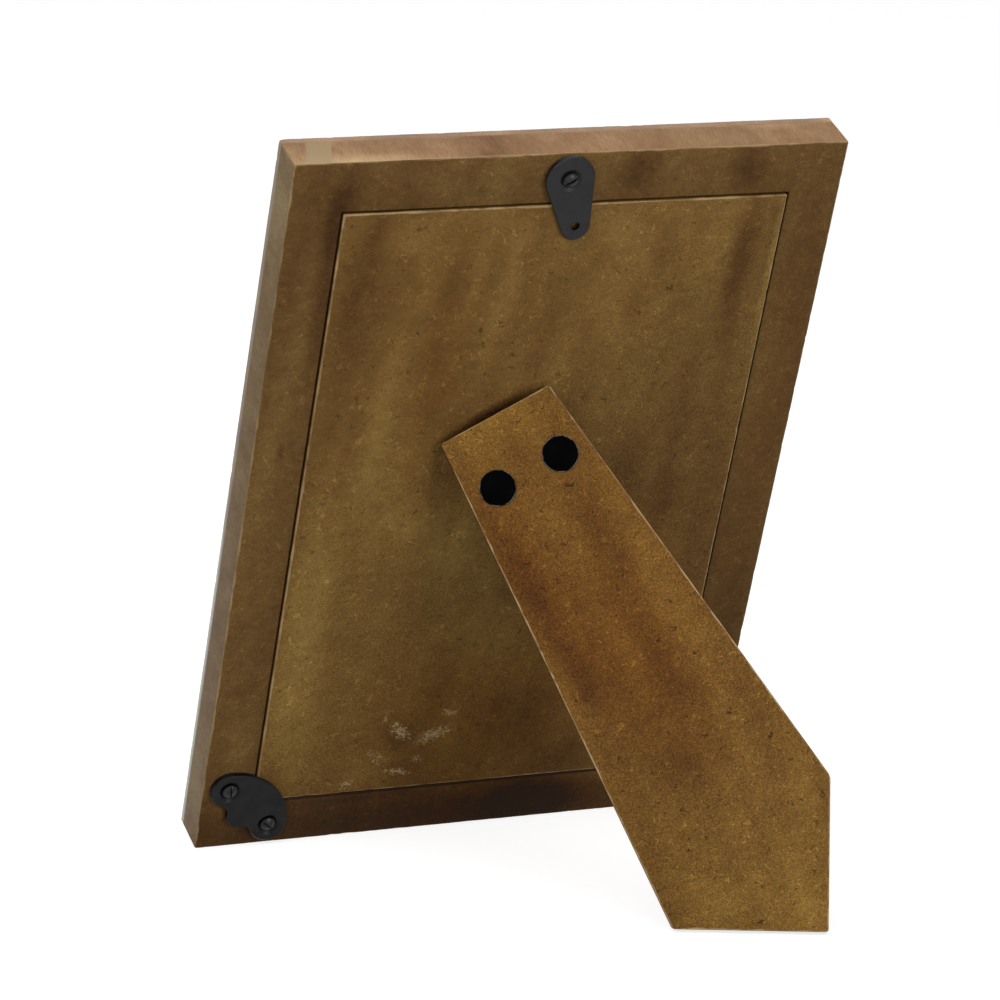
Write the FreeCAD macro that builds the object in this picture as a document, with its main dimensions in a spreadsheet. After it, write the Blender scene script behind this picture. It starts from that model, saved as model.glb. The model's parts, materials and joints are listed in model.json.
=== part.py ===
"""Easel back photo frame: a rebated ring with glass, picture and loose back, and a folding leg.

The pieces of the frame are drawn as seen from behind, flat, with X to the viewer's right, Y up
the frame and Z out of its back. The origin of that view is the middle of the bottom arris of the
back face. The leg and its hinge are drawn about the hinge pin, with X along the pin, Y up the leg
and Z out of it. Placements then open the leg and lean the whole frame back onto it.
"""
import FreeCAD, Part
import math
import os
import Sketcher

V = FreeCAD.Vector
ALONG_X = V(1, 0, 0)
ALONG_Y = V(0, 1, 0)
ALONG_Z = V(0, 0, 1)
FLAT = FreeCAD.Rotation()
QUARTER_TURN = 90
FULL_TURN = 360
SAME_SHARE = 1e-6

# How far each screw's slot happens to be turned, in degrees
SLOT_TURNS = {"button": 30, "left_side": 95, "left_bottom": 140, "right_side": 20, "right_bottom": 75}

# Driving sizes, in millimetres and degrees
SIZES = [
    ("picture_width", 101.6, "print that the frame is made for"),
    ("picture_height", 152.4, "print that the frame is made for"),
    ("picture_play", 1.0, "rebate beyond the print, each side"),
    ("picture_thickness", 0.3, "sheet of card"),
    ("glass_thickness", 2.0, "picture glass"),
    ("glass_play", 0.5, "rebate beyond the glass, each side"),
    ("rail_width", 12.1, "back face of the ring outside the rebate"),
    ("lip_width", 5.0, "ledge that the glass lies on"),
    ("ring_thickness", 9.0, "board that the ring is cut from"),
    ("facing_thickness", 2.0, "pale facing on the front"),
    ("facing_overlap", 0.6, "facing beyond the lip, towards the picture"),
    ("facing_bevel", 0.8, "sloped edge of the facing round the picture"),
    ("arris", 0.3, "rounding of the sawn edges"),
    ("panel_thickness", 3.0, "board of the loose back"),
    ("panel_play", 0.35, "rebate beyond the loose back, each side"),
    ("panel_proud", 0.45, "loose back above the ring's back face"),
    ("lean_angle", 21.0, "frame from upright"),
    ("hinge_angle", 30.5, "hinge pin from the bottom rail"),
    ("hinge_across", -5.95, "middle of the hinge pin from the middle of the frame"),
    ("hinge_up", 109.55, "middle of the hinge pin above the bottom edge"),
    ("open_angle", 45.0, "leg from the back when it stands"),
    ("leg_thickness", 3.0, "board of the leg"),
    ("leg_top_width", 27.0, "upper end of the leg"),
    ("leg_top_offset", -0.5, "middle of the upper end from the middle of the hinge"),
    ("leg_stop_gap", 0.05, "open leg's upper end above the back"),
    ("foot_side", 33.8, "each of the two edges that meet in the foot"),
    ("foot_offset", 8.3, "foot from the middle of the hinge, along the pin"),
    ("pin_diameter", 2.0, "hinge pin"),
    ("pin_fit", 0.05, "radial clearance of the pin in its knuckles"),
    ("pin_end", 0.3, "pin beyond the knuckles, each end"),
    ("leaf_thickness", 0.8, "hinge sheet"),
    ("leaf_length", 15.5, "hinge leaf from the pin to its end"),
    ("leaf_width", 24.0, "hinge along its pin"),
    ("middle_knuckle", 9.0, "length of the knuckle on the panel leaf"),
    ("knuckle_gap", 0.2, "between two knuckles, and round them"),
    ("fold_clearance", 0.1, "knuckles clear of the boards"),
    ("leg_rivet_spacing", 15.6, "between the two rivets in the leg"),
    ("leg_rivet_down", 9.85, "rivets in the leg from the pin"),
    ("leg_rivet_head", 8.0, "diameter of the black head"),
    ("leg_rivet_dome", 1.3, "height of the black head"),
    ("leg_rivet_rim", 0.35, "straight edge of the black head"),
    ("leg_rivet_shank", 3.6, "diameter of the shank"),
    ("panel_rivet_spacing", 9.0, "between the two rivets in the back"),
    ("panel_rivet_down", 9.4, "rivets in the back from the pin"),
    ("panel_rivet_head", 6.0, "diameter of the sunk head"),
    ("panel_rivet_sink", 1.2, "depth of the sunk head"),
    ("panel_rivet_shank", 3.0, "diameter of the shank"),
    ("rivet_tail_diameter", 5.2, "end that is spread on the leaf"),
    ("rivet_tail_height", 0.6, "end that is spread on the leaf"),
    ("rivet_fit", 0.03, "radial clearance of a shank"),
    ("button_wide_diameter", 11.1, "end of the turn button at its pivot"),
    ("button_narrow_diameter", 6.6, "end of the turn button on the back"),
    ("button_reach", 12.0, "pivot to the middle of the narrow end"),
    ("button_thickness", 1.0, "plate of the turn button"),
    ("button_lift", 0.55, "pressed boss under the pivot"),
    ("button_boss_diameter", 6.6, "pressed boss under the pivot"),
    ("button_hole", 1.8, "small hole in the narrow end"),
    ("button_across", -1.35, "pivot from the middle of the frame"),
    ("button_up_offset", 0.2, "pivot above the middle of the top rail"),
    ("button_turn_angle", 15.0, "narrow end from straight down, to the viewer's right"),
    ("plate_thickness", 1.5, "corner plate"),
    ("plate_lobe_diameter", 8.8, "round ends of a corner plate"),
    ("plate_lobe_beyond", 4.3, "round ends along the rails, beyond the rebate's corner"),
    ("plate_arc_offset", 0.45, "middle of the large arc from the middle lines of the rails"),
    ("plate_bump_offset", 3.25, "middle of the bump from the middle lines of the rails"),
    ("plate_bump_diameter", 6.4, "bump towards the frame's corner"),
    ("plate_hollow_diameter", 4.0, "hollows beside the bump"),
    ("plate_clearance", 0.1, "corner plate above the loose back"),
    ("plate_bevel", 0.25, "broken upper edge of plates and button"),
    ("screw_head_diameter", 3.5, "slotted head"),
    ("screw_head_height", 1.15, "slotted head"),
    ("screw_head_rim", 0.45, "straight edge of the head"),
    ("screw_diameter", 1.8, "shank"),
    ("screw_length", 7.0, "under the head"),
    ("screw_point", 1.6, "pointed end"),
    ("screw_fit", 0.05, "radial clearance of a shank"),
    ("slot_width", 0.55, "slot in the head"),
    ("slot_depth", 0.6, "slot in the head"),
    ("dimple_width", 0.9, "hollow round a head, each side"),
    ("dimple_play", 0.1, "floor of the hollow beyond the head, each side"),
    ("button_dimple", 0.35, "depth of the button's hollow"),
    ("plate_dimple", 0.6, "depth of a corner plate's hollow"),
    ("pilot_spare", 0.5, "pilot hole below a screw's point"),
]

# Sizes that follow from them
FOLLOWING = [
    ("rebate_width", "picture_width + 2 * picture_play"),
    ("rebate_height", "picture_height + 2 * picture_play"),
    ("frame_width", "rebate_width + 2 * rail_width"),
    ("frame_height", "rebate_height + 2 * rail_width"),
    ("sight_width", "rebate_width - 2 * lip_width"),
    ("sight_height", "rebate_height - 2 * lip_width"),
    ("rebate_depth", "glass_thickness + picture_thickness + panel_thickness - panel_proud"),
    ("picture_under", "panel_thickness - panel_proud + picture_thickness"),
    ("knuckle_diameter", "pin_diameter + 2 * pin_fit + 2 * leaf_thickness"),
    ("leaf_seat", "knuckle_diameter / 2 + fold_clearance"),
    ("leaf_root", "knuckle_diameter / 2 + knuckle_gap"),
    ("pin_above_back", "panel_proud + leaf_seat"),
    ("leg_end", "(leaf_seat * (1 + cos(open_angle)) - leg_stop_gap) / sin(open_angle)"),
    ("leg_drop", "cos(open_angle) * cos(hinge_angle) * cos(lean_angle)"
                 " + sin(open_angle) * sin(lean_angle)"),
    ("face_rise", "sin(open_angle) * cos(hinge_angle) * cos(lean_angle)"
                  " - cos(open_angle) * sin(lean_angle)"),
    ("side_rise", "sin(hinge_angle) * cos(lean_angle)"),
    ("foot_slope", "atan(side_rise / leg_drop)"),
    ("foot_down", "(hinge_up * cos(lean_angle) - pin_above_back * sin(lean_angle)"
                  " + foot_offset * side_rise + leaf_seat * face_rise) / leg_drop"),
    ("pin_length", "leaf_width + 2 * pin_end"),
    ("plate_lobe_across", "rail_width / 2"),
    ("plate_lobe_along", "rail_width + plate_lobe_beyond"),
    ("plate_arc_centre", "rail_width / 2 + plate_arc_offset"),
    ("plate_bump_centre", "rail_width / 2 + plate_bump_offset"),
    ("plate_relief", "panel_proud + plate_clearance"),
    ("button_up", "frame_height - rail_width / 2 + button_up_offset"),
    ("pilot_depth", "screw_length + pilot_spare"),
]

doc = FreeCAD.newDocument("EaselBackPhotoFrame")
sheet = doc.addObject("Spreadsheet::Sheet", "Sizes")
subparts = []


def fill_sheet():
    """Writes the driving sizes as numbers and the following sizes as formulas."""
    for row, (name, size, meaning) in enumerate(SIZES, start=1):
        sheet.set(f"A{row}", name)
        sheet.set(f"B{row}", str(size))
        sheet.set(f"C{row}", meaning)
        sheet.setAlias(f"B{row}", name)
    for row, (name, formula) in enumerate(FOLLOWING, start=len(SIZES) + 1):
        sheet.set(f"A{row}", name)
        sheet.set(f"B{row}", "=" + formula)
        sheet.setAlias(f"B{row}", name)
    doc.recompute()


def bound(formula):
    """The same formula with each size's name pointing at its cell."""
    names = {name for name, *_ in SIZES + FOLLOWING}
    words, word = [], ""
    for letter in str(formula) + " ":
        if letter.isalnum() or letter == "_":
            word += letter
            continue
        words.append(f"Sizes.{word}" if word in names else word)
        words.append(letter)
        word = ""
    return "".join(words).strip()


def size(formula):
    """The value of a formula of sizes, now."""
    value = sheet.evalExpression(bound(formula))
    return float(getattr(value, "Value", value))


def finish(feature, name, placement):
    """Names a sub-part, which also names its file, and puts it in place."""
    feature.Label = name
    feature.Placement = placement
    subparts.append(feature)
    return feature


# Sketches
def new_sketch(body, name, plane="XY_Plane", height=None, place=None):
    """A sketch on one of the body's origin planes, raised by a formula where one is given.

    One on the XZ plane can stand at a place, two formulas of X and Y, with its upright axis there.
    """
    sketch = body.newObject("Sketcher::SketchObject", name)
    planes = {f.Role: f for f in body.Origin.OriginFeatures}
    sketch.AttachmentSupport = [(planes[plane], "")]
    sketch.MapMode = "FlatFace"
    if height:
        sketch.setExpression("AttachmentOffset.Base.z", bound(height))
    if place:
        sketch.setExpression("AttachmentOffset.Base.x", bound(place[0]))
        sketch.setExpression("AttachmentOffset.Base.z", bound(f"-({place[1]})"))
    return sketch


def hold(sketch, formula, *constraint):
    """Adds a constraint whose value is a formula of sizes."""
    index = sketch.addConstraint(Sketcher.Constraint(*constraint, size(formula)))
    sketch.setExpression(f"Constraints[{index}]", bound(formula))


def hold_point(sketch, edge, end, x, y):
    """Holds an end or a centre at formulas of X and Y."""
    hold(sketch, x, "DistanceX", -1, 1, edge, end)
    hold(sketch, y, "DistanceY", -1, 1, edge, end)


def outline(sketch, corners, dome=None):
    """A closed outline through corners. The side after corner number dome is an arc about Y."""
    points = [V(size(x), size(y), 0) for x, y in corners]
    sides = []
    for index, start in enumerate(points):
        end = points[(index + 1) % len(points)]
        if index != dome:
            edge = sketch.addGeometry(Part.LineSegment(start, end))
            sides.append((edge, 1, 2))
            continue
        middle = (start.y ** 2 - end.x ** 2 - end.y ** 2) / (2 * (start.y - end.y))
        circle = Part.Circle(V(0, middle, 0), ALONG_Z, start.y - middle)
        rim = math.atan2(end.y - middle, end.x)
        edge = sketch.addGeometry(Part.ArcOfCircle(circle, rim, math.pi / 2))
        sides.append((edge, 2, 1))
    for index, (edge, start, end) in enumerate(sides):
        after, after_start, _ = sides[(index + 1) % len(sides)]
        sketch.addConstraint(Sketcher.Constraint("Coincident", edge, end, after, after_start))
        hold_point(sketch, edge, start, *corners[index])
        if index == dome:
            sketch.addConstraint(Sketcher.Constraint("PointOnObject", edge, 3, -2))


def rectangle(sketch, left, bottom, right, top):
    """A rectangle with its sides at four formulas."""
    outline(sketch, [(left, bottom), (right, bottom), (right, top), (left, top)])


def circle(sketch, x, y, diameter):
    """A circle at formulas of X, Y and diameter."""
    edge = sketch.addGeometry(Part.Circle(V(size(x), size(y), 0), ALONG_Z, size(diameter) / 2))
    hold_point(sketch, edge, 3, x, y)
    hold(sketch, diameter, "Diameter", edge)


def arc(sketch, middle, diameter, start, end):
    """An arc from one direction to another, anticlockwise, given as points to look at."""
    angles = [math.atan2(p.y - middle.y, p.x - middle.x) for p in (start, end)]
    whole = Part.Circle(middle, ALONG_Z, diameter / 2)
    return sketch.addGeometry(Part.ArcOfCircle(whole, *angles))


def join_smoothly(sketch, joints):
    """Joins the ends of edges so that they meet and run on without a corner."""
    for joint in joints:
        sketch.addConstraint(Sketcher.Constraint("Tangent", *joint))


# Features of a body
def new_body(name):
    return doc.addObject("PartDesign::Body", name + "_body")


def pad(body, sketch, length, down=False):
    """Adds the sketch's area, up from it or down."""
    feature = body.newObject("PartDesign::Pad", sketch.Name + "_pad")
    feature.Profile = sketch
    feature.Reversed = down
    feature.setExpression("Length", bound(length))
    doc.recompute()
    return feature


def pocket(body, sketch, length, up=False):
    """Takes away the sketch's area, down from it or up, and tests that it took something."""
    before = body.Shape.Volume
    feature = body.newObject("PartDesign::Pocket", sketch.Name + "_pocket")
    feature.Profile = sketch
    feature.Reversed = up
    feature.setExpression("Length", bound(length))
    doc.recompute()
    if not body.Shape.Volume < before:
        raise RuntimeError(feature.Name + " takes nothing away")
    return feature


def turn(body, sketch):
    """A solid of revolution about the sketch's upright axis."""
    feature = body.newObject("PartDesign::Revolution", sketch.Name + "_turned")
    feature.Profile = sketch
    feature.ReferenceAxis = (sketch, ["V_Axis"])
    feature.Angle = FULL_TURN
    doc.recompute()
    return feature


def turned_hole(body, name, place, corners):
    """Takes a turned outline away at a place, and tests that it took something."""
    before = body.Shape.Volume
    half = new_sketch(body, name, plane="XZ_Plane", place=place)
    outline(half, corners)
    feature = body.newObject("PartDesign::Groove", name + "_groove")
    feature.Profile = half
    feature.ReferenceAxis = (half, ["V_Axis"])
    feature.Angle = FULL_TURN
    doc.recompute()
    if not body.Shape.Volume < before:
        raise RuntimeError(feature.Name + " takes nothing away")
    return feature


def dress(body, kind, length, chosen):
    """Rounds (Fillet) or slopes (Chamfer) the edges that the test chooses."""
    base = body.Tip
    names = [f"Edge{i}" for i, edge in enumerate(base.Shape.Edges, start=1) if chosen(edge)]
    feature = body.newObject("PartDesign::" + kind, base.Name + "_" + kind.lower())
    feature.Base = (base, names)
    feature.setExpression("Radius" if kind == "Fillet" else "Size", bound(length))
    doc.recompute()
    return feature


def near(first, second):
    """Whether two lengths are the same, apart from rounding."""
    return abs(first - second) < size("frame_height") * SAME_SHARE


def lies_at(edge, height):
    """Whether a whole edge lies at one height."""
    box = edge.BoundBox
    return near(box.ZMin, height) and near(box.ZMax, height)


def is_outside(edge, half_width, low, high):
    """Whether an edge lies on the outside of a rectangle that is centred on X."""
    box = edge.BoundBox
    beside = near(box.XMin, half_width) or near(box.XMax, -half_width)
    return beside or near(box.YMin, high) or near(box.YMax, low)


# Ring, facing and what lies in the rebate
def frame_ring(placement):
    """One-piece ring with a sight opening, a rebate behind it and the screws' pilot holes."""
    body = new_body("frame_ring")
    board = new_sketch(body, "ring_board")
    rectangle(board, "-frame_width / 2", "0", "frame_width / 2", "frame_height")
    rectangle(board, "-sight_width / 2", "rail_width + lip_width",
              "sight_width / 2", "rail_width + lip_width + sight_height")
    pad(body, board, "ring_thickness", down=True)
    rebate = new_sketch(body, "ring_rebate")
    rectangle(rebate, "-rebate_width / 2", "rail_width",
              "rebate_width / 2", "rail_width + rebate_height")
    pocket(body, rebate, "rebate_depth")
    pilots = new_sketch(body, "ring_pilots")
    bore = "screw_diameter + 2 * screw_fit"
    circle(pilots, "button_across", "button_up", bore)
    for side in ("-1", "1"):
        circle(pilots, f"{side} * (frame_width / 2 - plate_lobe_across)", "plate_lobe_along", bore)
        circle(pilots, f"{side} * (frame_width / 2 - plate_lobe_along)", "plate_lobe_across", bore)
    pocket(body, pilots, "pilot_depth")
    half, top = size("frame_width / 2"), size("frame_height")

    def worn(edge):
        """The outer back arrises and the ring's corners, but not the arris that it stands on."""
        box = edge.BoundBox
        corner = near(abs(box.XMin), half) and near(box.XMin, box.XMax) and near(box.YMin, box.YMax)
        back = lies_at(edge, 0) and is_outside(edge, half, 0, top) and not near(box.YMax, 0)
        return corner or back

    dress(body, "Fillet", "arris", worn)
    return finish(body, "frame_ring", placement)


def front_facing(placement):
    """Thin pale ring on the front, with a sloped edge round the picture."""
    body = new_body("front_facing")
    sheet_outline = new_sketch(body, "facing_sheet", height="-ring_thickness")
    rectangle(sheet_outline, "-frame_width / 2", "0", "frame_width / 2", "frame_height")
    inset = "(lip_width + facing_overlap)"
    rectangle(sheet_outline, f"{inset} - rebate_width / 2", f"rail_width + {inset}",
              f"rebate_width / 2 - {inset}", f"rail_width + rebate_height - {inset}")
    pad(body, sheet_outline, "facing_thickness", down=True)
    front = size("-ring_thickness - facing_thickness")
    half, top = size("frame_width / 2"), size("frame_height")
    dress(body, "Chamfer", "facing_bevel",
          lambda edge: lies_at(edge, front) and not is_outside(edge, half, 0, top))
    dress(body, "Fillet", "arris",
          lambda edge: lies_at(edge, front) and is_outside(edge, half, 0, top))
    return finish(body, "front_facing", placement)


def sheet_in_rebate(name, play, under, thickness, placement):
    """A plain rectangular sheet in the rebate."""
    body = new_body(name)
    shape = new_sketch(body, name + "_shape", height=f"-({under})")
    rectangle(shape, f"{play} - rebate_width / 2", f"rail_width + {play}",
              f"rebate_width / 2 - {play}", f"rail_width + rebate_height - {play}")
    pad(body, shape, thickness)
    return finish(body, name, placement)


def backing_panel(placement):
    """Loose back with two sunk rivet holes for the hinge."""
    body = new_body("backing_panel")
    board = new_sketch(body, "panel_board", height="panel_proud")
    rectangle(board, "panel_play - rebate_width / 2", "rail_width + panel_play",
              "rebate_width / 2 - panel_play", "rail_width + rebate_height - panel_play")
    pad(body, board, "panel_thickness", down=True)
    hole = "panel_rivet_shank / 2 + rivet_fit"
    head = "panel_rivet_head / 2 + rivet_fit"
    inner = "panel_proud - panel_thickness"
    for number, place in enumerate(panel_rivet_places()):
        turned_hole(body, f"panel_rivet_hole_{number}", place, [
            ("0", "panel_proud"), (hole, "panel_proud"), (hole, f"{inner} + panel_rivet_sink"),
            (head, inner), ("0", inner)])
    face = size("panel_proud")
    half, low = size("rebate_width / 2 - panel_play"), size("rail_width + panel_play")
    high = size("rail_width + rebate_height - panel_play")
    dress(body, "Fillet", "arris",
          lambda edge: lies_at(edge, face) and is_outside(edge, half, low, high))
    return finish(body, "backing_panel", placement)


def panel_rivet_places():
    """Formulas of the two rivets' places in the back, each side of the hinge's middle line."""
    places = []
    for side in ("-1", "1"):
        along = f"{side} * panel_rivet_spacing / 2"
        x = f"hinge_across + {along} * cos(hinge_angle) + panel_rivet_down * sin(hinge_angle)"
        y = f"hinge_up + {along} * sin(hinge_angle) - panel_rivet_down * cos(hinge_angle)"
        places.append((x, y))
    return places


# Leg, hinge and rivets
def easel_leg(placement):
    """Five-sided leg. One edge of its square foot lies level on the floor when it stands open."""
    body = new_body("easel_leg")
    board = new_sketch(body, "leg_board", height="leaf_seat")
    outline(board, [
        ("leg_top_offset - leg_top_width / 2", "leg_end"),
        ("foot_offset - foot_side * cos(foot_slope)", "foot_side * sin(foot_slope) - foot_down"),
        ("foot_offset", "-foot_down"),
        ("foot_offset + foot_side * sin(foot_slope)", "foot_side * cos(foot_slope) - foot_down"),
        ("leg_top_offset + leg_top_width / 2", "leg_end"),
    ])
    pad(body, board, "leg_thickness")
    holes = new_sketch(body, "leg_rivet_holes", height="leaf_seat + leg_thickness")
    for side in ("-1", "1"):
        circle(holes, f"{side} * leg_rivet_spacing / 2", "-leg_rivet_down",
               "leg_rivet_shank + 2 * rivet_fit")
    pocket(body, holes, "leg_thickness")
    outer = size("leaf_seat + leg_thickness")
    dress(body, "Fillet", "arris",
          lambda edge: lies_at(edge, outer) and not hasattr(edge.Curve, "Radius"))
    return finish(body, "easel_leg", placement)


def block(name, start, lengths):
    """A box with its low corner and its lengths at formulas."""
    box = doc.addObject("Part::Box", name)
    for axis, formula in zip("xyz", start):
        box.setExpression(f"Placement.Base.{axis}", bound(formula))
    for side, formula in zip(("Length", "Width", "Height"), lengths):
        box.setExpression(side, bound(formula))
    return box


def rod(name, start, diameter, length, rotation=FLAT):
    """A cylinder from a start at formulas, upright unless it is turned."""
    cylinder = doc.addObject("Part::Cylinder", name)
    cylinder.Placement.Rotation = rotation
    for axis, formula in zip("xyz", start):
        cylinder.setExpression(f"Placement.Base.{axis}", bound(formula))
    cylinder.setExpression("Radius", bound(f"({diameter}) / 2"))
    cylinder.setExpression("Height", bound(length))
    return cylinder


def hinge_leaf(name, side, knuckles, rivet_spacing, rivet_down, rivet_shank, placement):
    """A hinge leaf on one side of the pin, with its knuckles at (start, length) along the pin."""
    along_pin = FreeCAD.Rotation(ALONG_Y, QUARTER_TURN)
    low = "leaf_seat - leaf_thickness" if side > 0 else "-leaf_seat"
    pieces = [block(name + "_plate", ("-leaf_width / 2", "-leaf_length", low),
                    ("leaf_width", "leaf_length - leaf_root", "leaf_thickness"))]
    for number, (start, length) in enumerate(knuckles):
        pieces.append(block(f"{name}_tongue_{number}", (start, "-leaf_root", low),
                            (length, "leaf_root", "leaf_thickness")))
        pieces.append(rod(f"{name}_knuckle_{number}", (start, "0", "0"),
                          "knuckle_diameter", length, along_pin))
    whole = doc.addObject("Part::MultiFuse", name + "_whole")
    whole.Shapes = pieces
    holes = [rod(name + "_bore", ("-leaf_width", "0", "0"), "pin_diameter + 2 * pin_fit",
                 "2 * leaf_width", along_pin)]
    for number, sign in enumerate(("-1", "1")):
        holes.append(rod(f"{name}_rivet_hole_{number}",
                         (f"{sign} * {rivet_spacing} / 2", f"-{rivet_down}", "-2 * leaf_seat"),
                         f"{rivet_shank} + 2 * rivet_fit", "4 * leaf_seat"))
    cutters = doc.addObject("Part::MultiFuse", name + "_holes")
    cutters.Shapes = holes
    leaf = doc.addObject("Part::Cut", name + "_cut")
    leaf.Base = whole
    leaf.Tool = cutters
    doc.recompute()
    return finish(leaf, name, placement)


def turned_piece(name, corners, dome, placement, slot=False):
    """A turned outline, with a dome after corner number dome and a slot across a screw's head."""
    body = new_body(name)
    half = new_sketch(body, name + "_half", plane="XZ_Plane")
    outline(half, corners, dome)
    turn(body, half)
    if slot:
        cut = new_sketch(body, name + "_slot", height="screw_head_height")
        rectangle(cut, "-screw_head_diameter", "-slot_width / 2",
                  "screw_head_diameter", "slot_width / 2")
        pocket(body, cut, "slot_depth")
    return finish(body, name, placement)


def hinge_pin(placement):
    """Plain pin about its own middle."""
    corners = [("0", "pin_length / 2"), ("pin_diameter / 2", "pin_length / 2"),
               ("pin_diameter / 2", "-pin_length / 2"), ("0", "-pin_length / 2")]
    return turned_piece("hinge_pin", corners, None, placement)


def leg_rivet(name, placement):
    """Low domed head on the leg's outer face, and an end spread on the hinge leaf."""
    leaf = "-(leg_thickness + leaf_thickness)"
    tail = f"{leaf} - rivet_tail_height"
    corners = [("0", "leg_rivet_dome"), ("leg_rivet_head / 2", "leg_rivet_rim"),
               ("leg_rivet_head / 2", "0"), ("leg_rivet_shank / 2", "0"),
               ("leg_rivet_shank / 2", leaf), ("rivet_tail_diameter / 2", leaf),
               ("rivet_tail_diameter / 2", tail), ("0", tail)]
    return turned_piece(name, corners, 0, placement)


def panel_rivet(name, placement):
    """Sunk head level with the back's inner face, and an end spread on the hinge leaf."""
    leaf = "panel_thickness + leaf_thickness"
    tail = f"{leaf} + rivet_tail_height"
    corners = [("0", tail), ("rivet_tail_diameter / 2", f"{leaf} + rivet_tail_height / 2"),
               ("rivet_tail_diameter / 2", leaf), ("panel_rivet_shank / 2", leaf),
               ("panel_rivet_shank / 2", "panel_rivet_sink"), ("panel_rivet_head / 2", "0"),
               ("0", "0")]
    return turned_piece(name, corners, 0, placement)


def screw(name, placement):
    """Slotted screw with a low round head. Its origin is the middle of the head's underside."""
    corners = [("0", "screw_head_height"), ("screw_head_diameter / 2", "screw_head_rim"),
               ("screw_head_diameter / 2", "0"), ("screw_diameter / 2", "0"),
               ("screw_diameter / 2", "screw_point - screw_length"), ("0", "-screw_length")]
    return turned_piece(name, corners, 0, placement, slot=True)


# Turn button and corner plates
def dimple(body, name, place, surface, depth):
    """A screw's hole and the sloped hollow that its head lies in."""
    hole = "screw_diameter / 2 + screw_fit"
    floor = "screw_head_diameter / 2 + dimple_play"
    turned_hole(body, name, place, [
        ("0", surface), (f"{floor} + dimple_width", surface), (floor, f"{surface} - {depth}"),
        (hole, f"{surface} - {depth}"), (hole, "0"), ("0", "0")])


def turn_button(placement):
    """Flat teardrop on a pressed boss. Its pivot is the origin and its narrow end points down."""
    body = new_body("turn_button")
    shape = new_sketch(body, "button_shape", height="button_lift")
    wide, narrow = size("button_wide_diameter"), size("button_narrow_diameter")
    reach = size("button_reach")
    slope = math.asin((wide - narrow) / 2 / reach)
    out = V(math.cos(slope), -math.sin(slope), 0)
    back = V(-out.x, out.y, 0)
    top, tip = V(0, 0, 0), V(0, -reach, 0)
    wide_arc = arc(shape, top, wide, top + out, top + back)
    left = shape.addGeometry(Part.LineSegment(top + back * (wide / 2), tip + back * (narrow / 2)))
    narrow_arc = arc(shape, tip, narrow, tip + back, tip + out)
    right = shape.addGeometry(Part.LineSegment(tip + out * (narrow / 2), top + out * (wide / 2)))
    join_smoothly(shape, [(wide_arc, 2, left, 1), (left, 2, narrow_arc, 1),
                          (narrow_arc, 2, right, 1), (right, 2, wide_arc, 1)])
    hold_point(shape, wide_arc, 3, "0", "0")
    hold_point(shape, narrow_arc, 3, "0", "-button_reach")
    hold(shape, "button_wide_diameter / 2", "Radius", wide_arc)
    hold(shape, "button_narrow_diameter / 2", "Radius", narrow_arc)
    pad(body, shape, "button_thickness")
    boss = new_sketch(body, "button_boss")
    circle(boss, "0", "0", "button_boss_diameter")
    pad(body, boss, "button_lift")
    eye = new_sketch(body, "button_eye", height="button_lift + button_thickness")
    circle(eye, "0", "-button_reach", "button_hole")
    pocket(body, eye, "button_thickness")
    face = size("button_lift + button_thickness")
    dress(body, "Chamfer", "plate_bevel", lambda edge: lies_at(edge, face))
    dimple(body, "button_dimple_shape", ("0", "0"), "button_lift + button_thickness", "button_dimple")
    return finish(body, "turn_button", placement)


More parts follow.
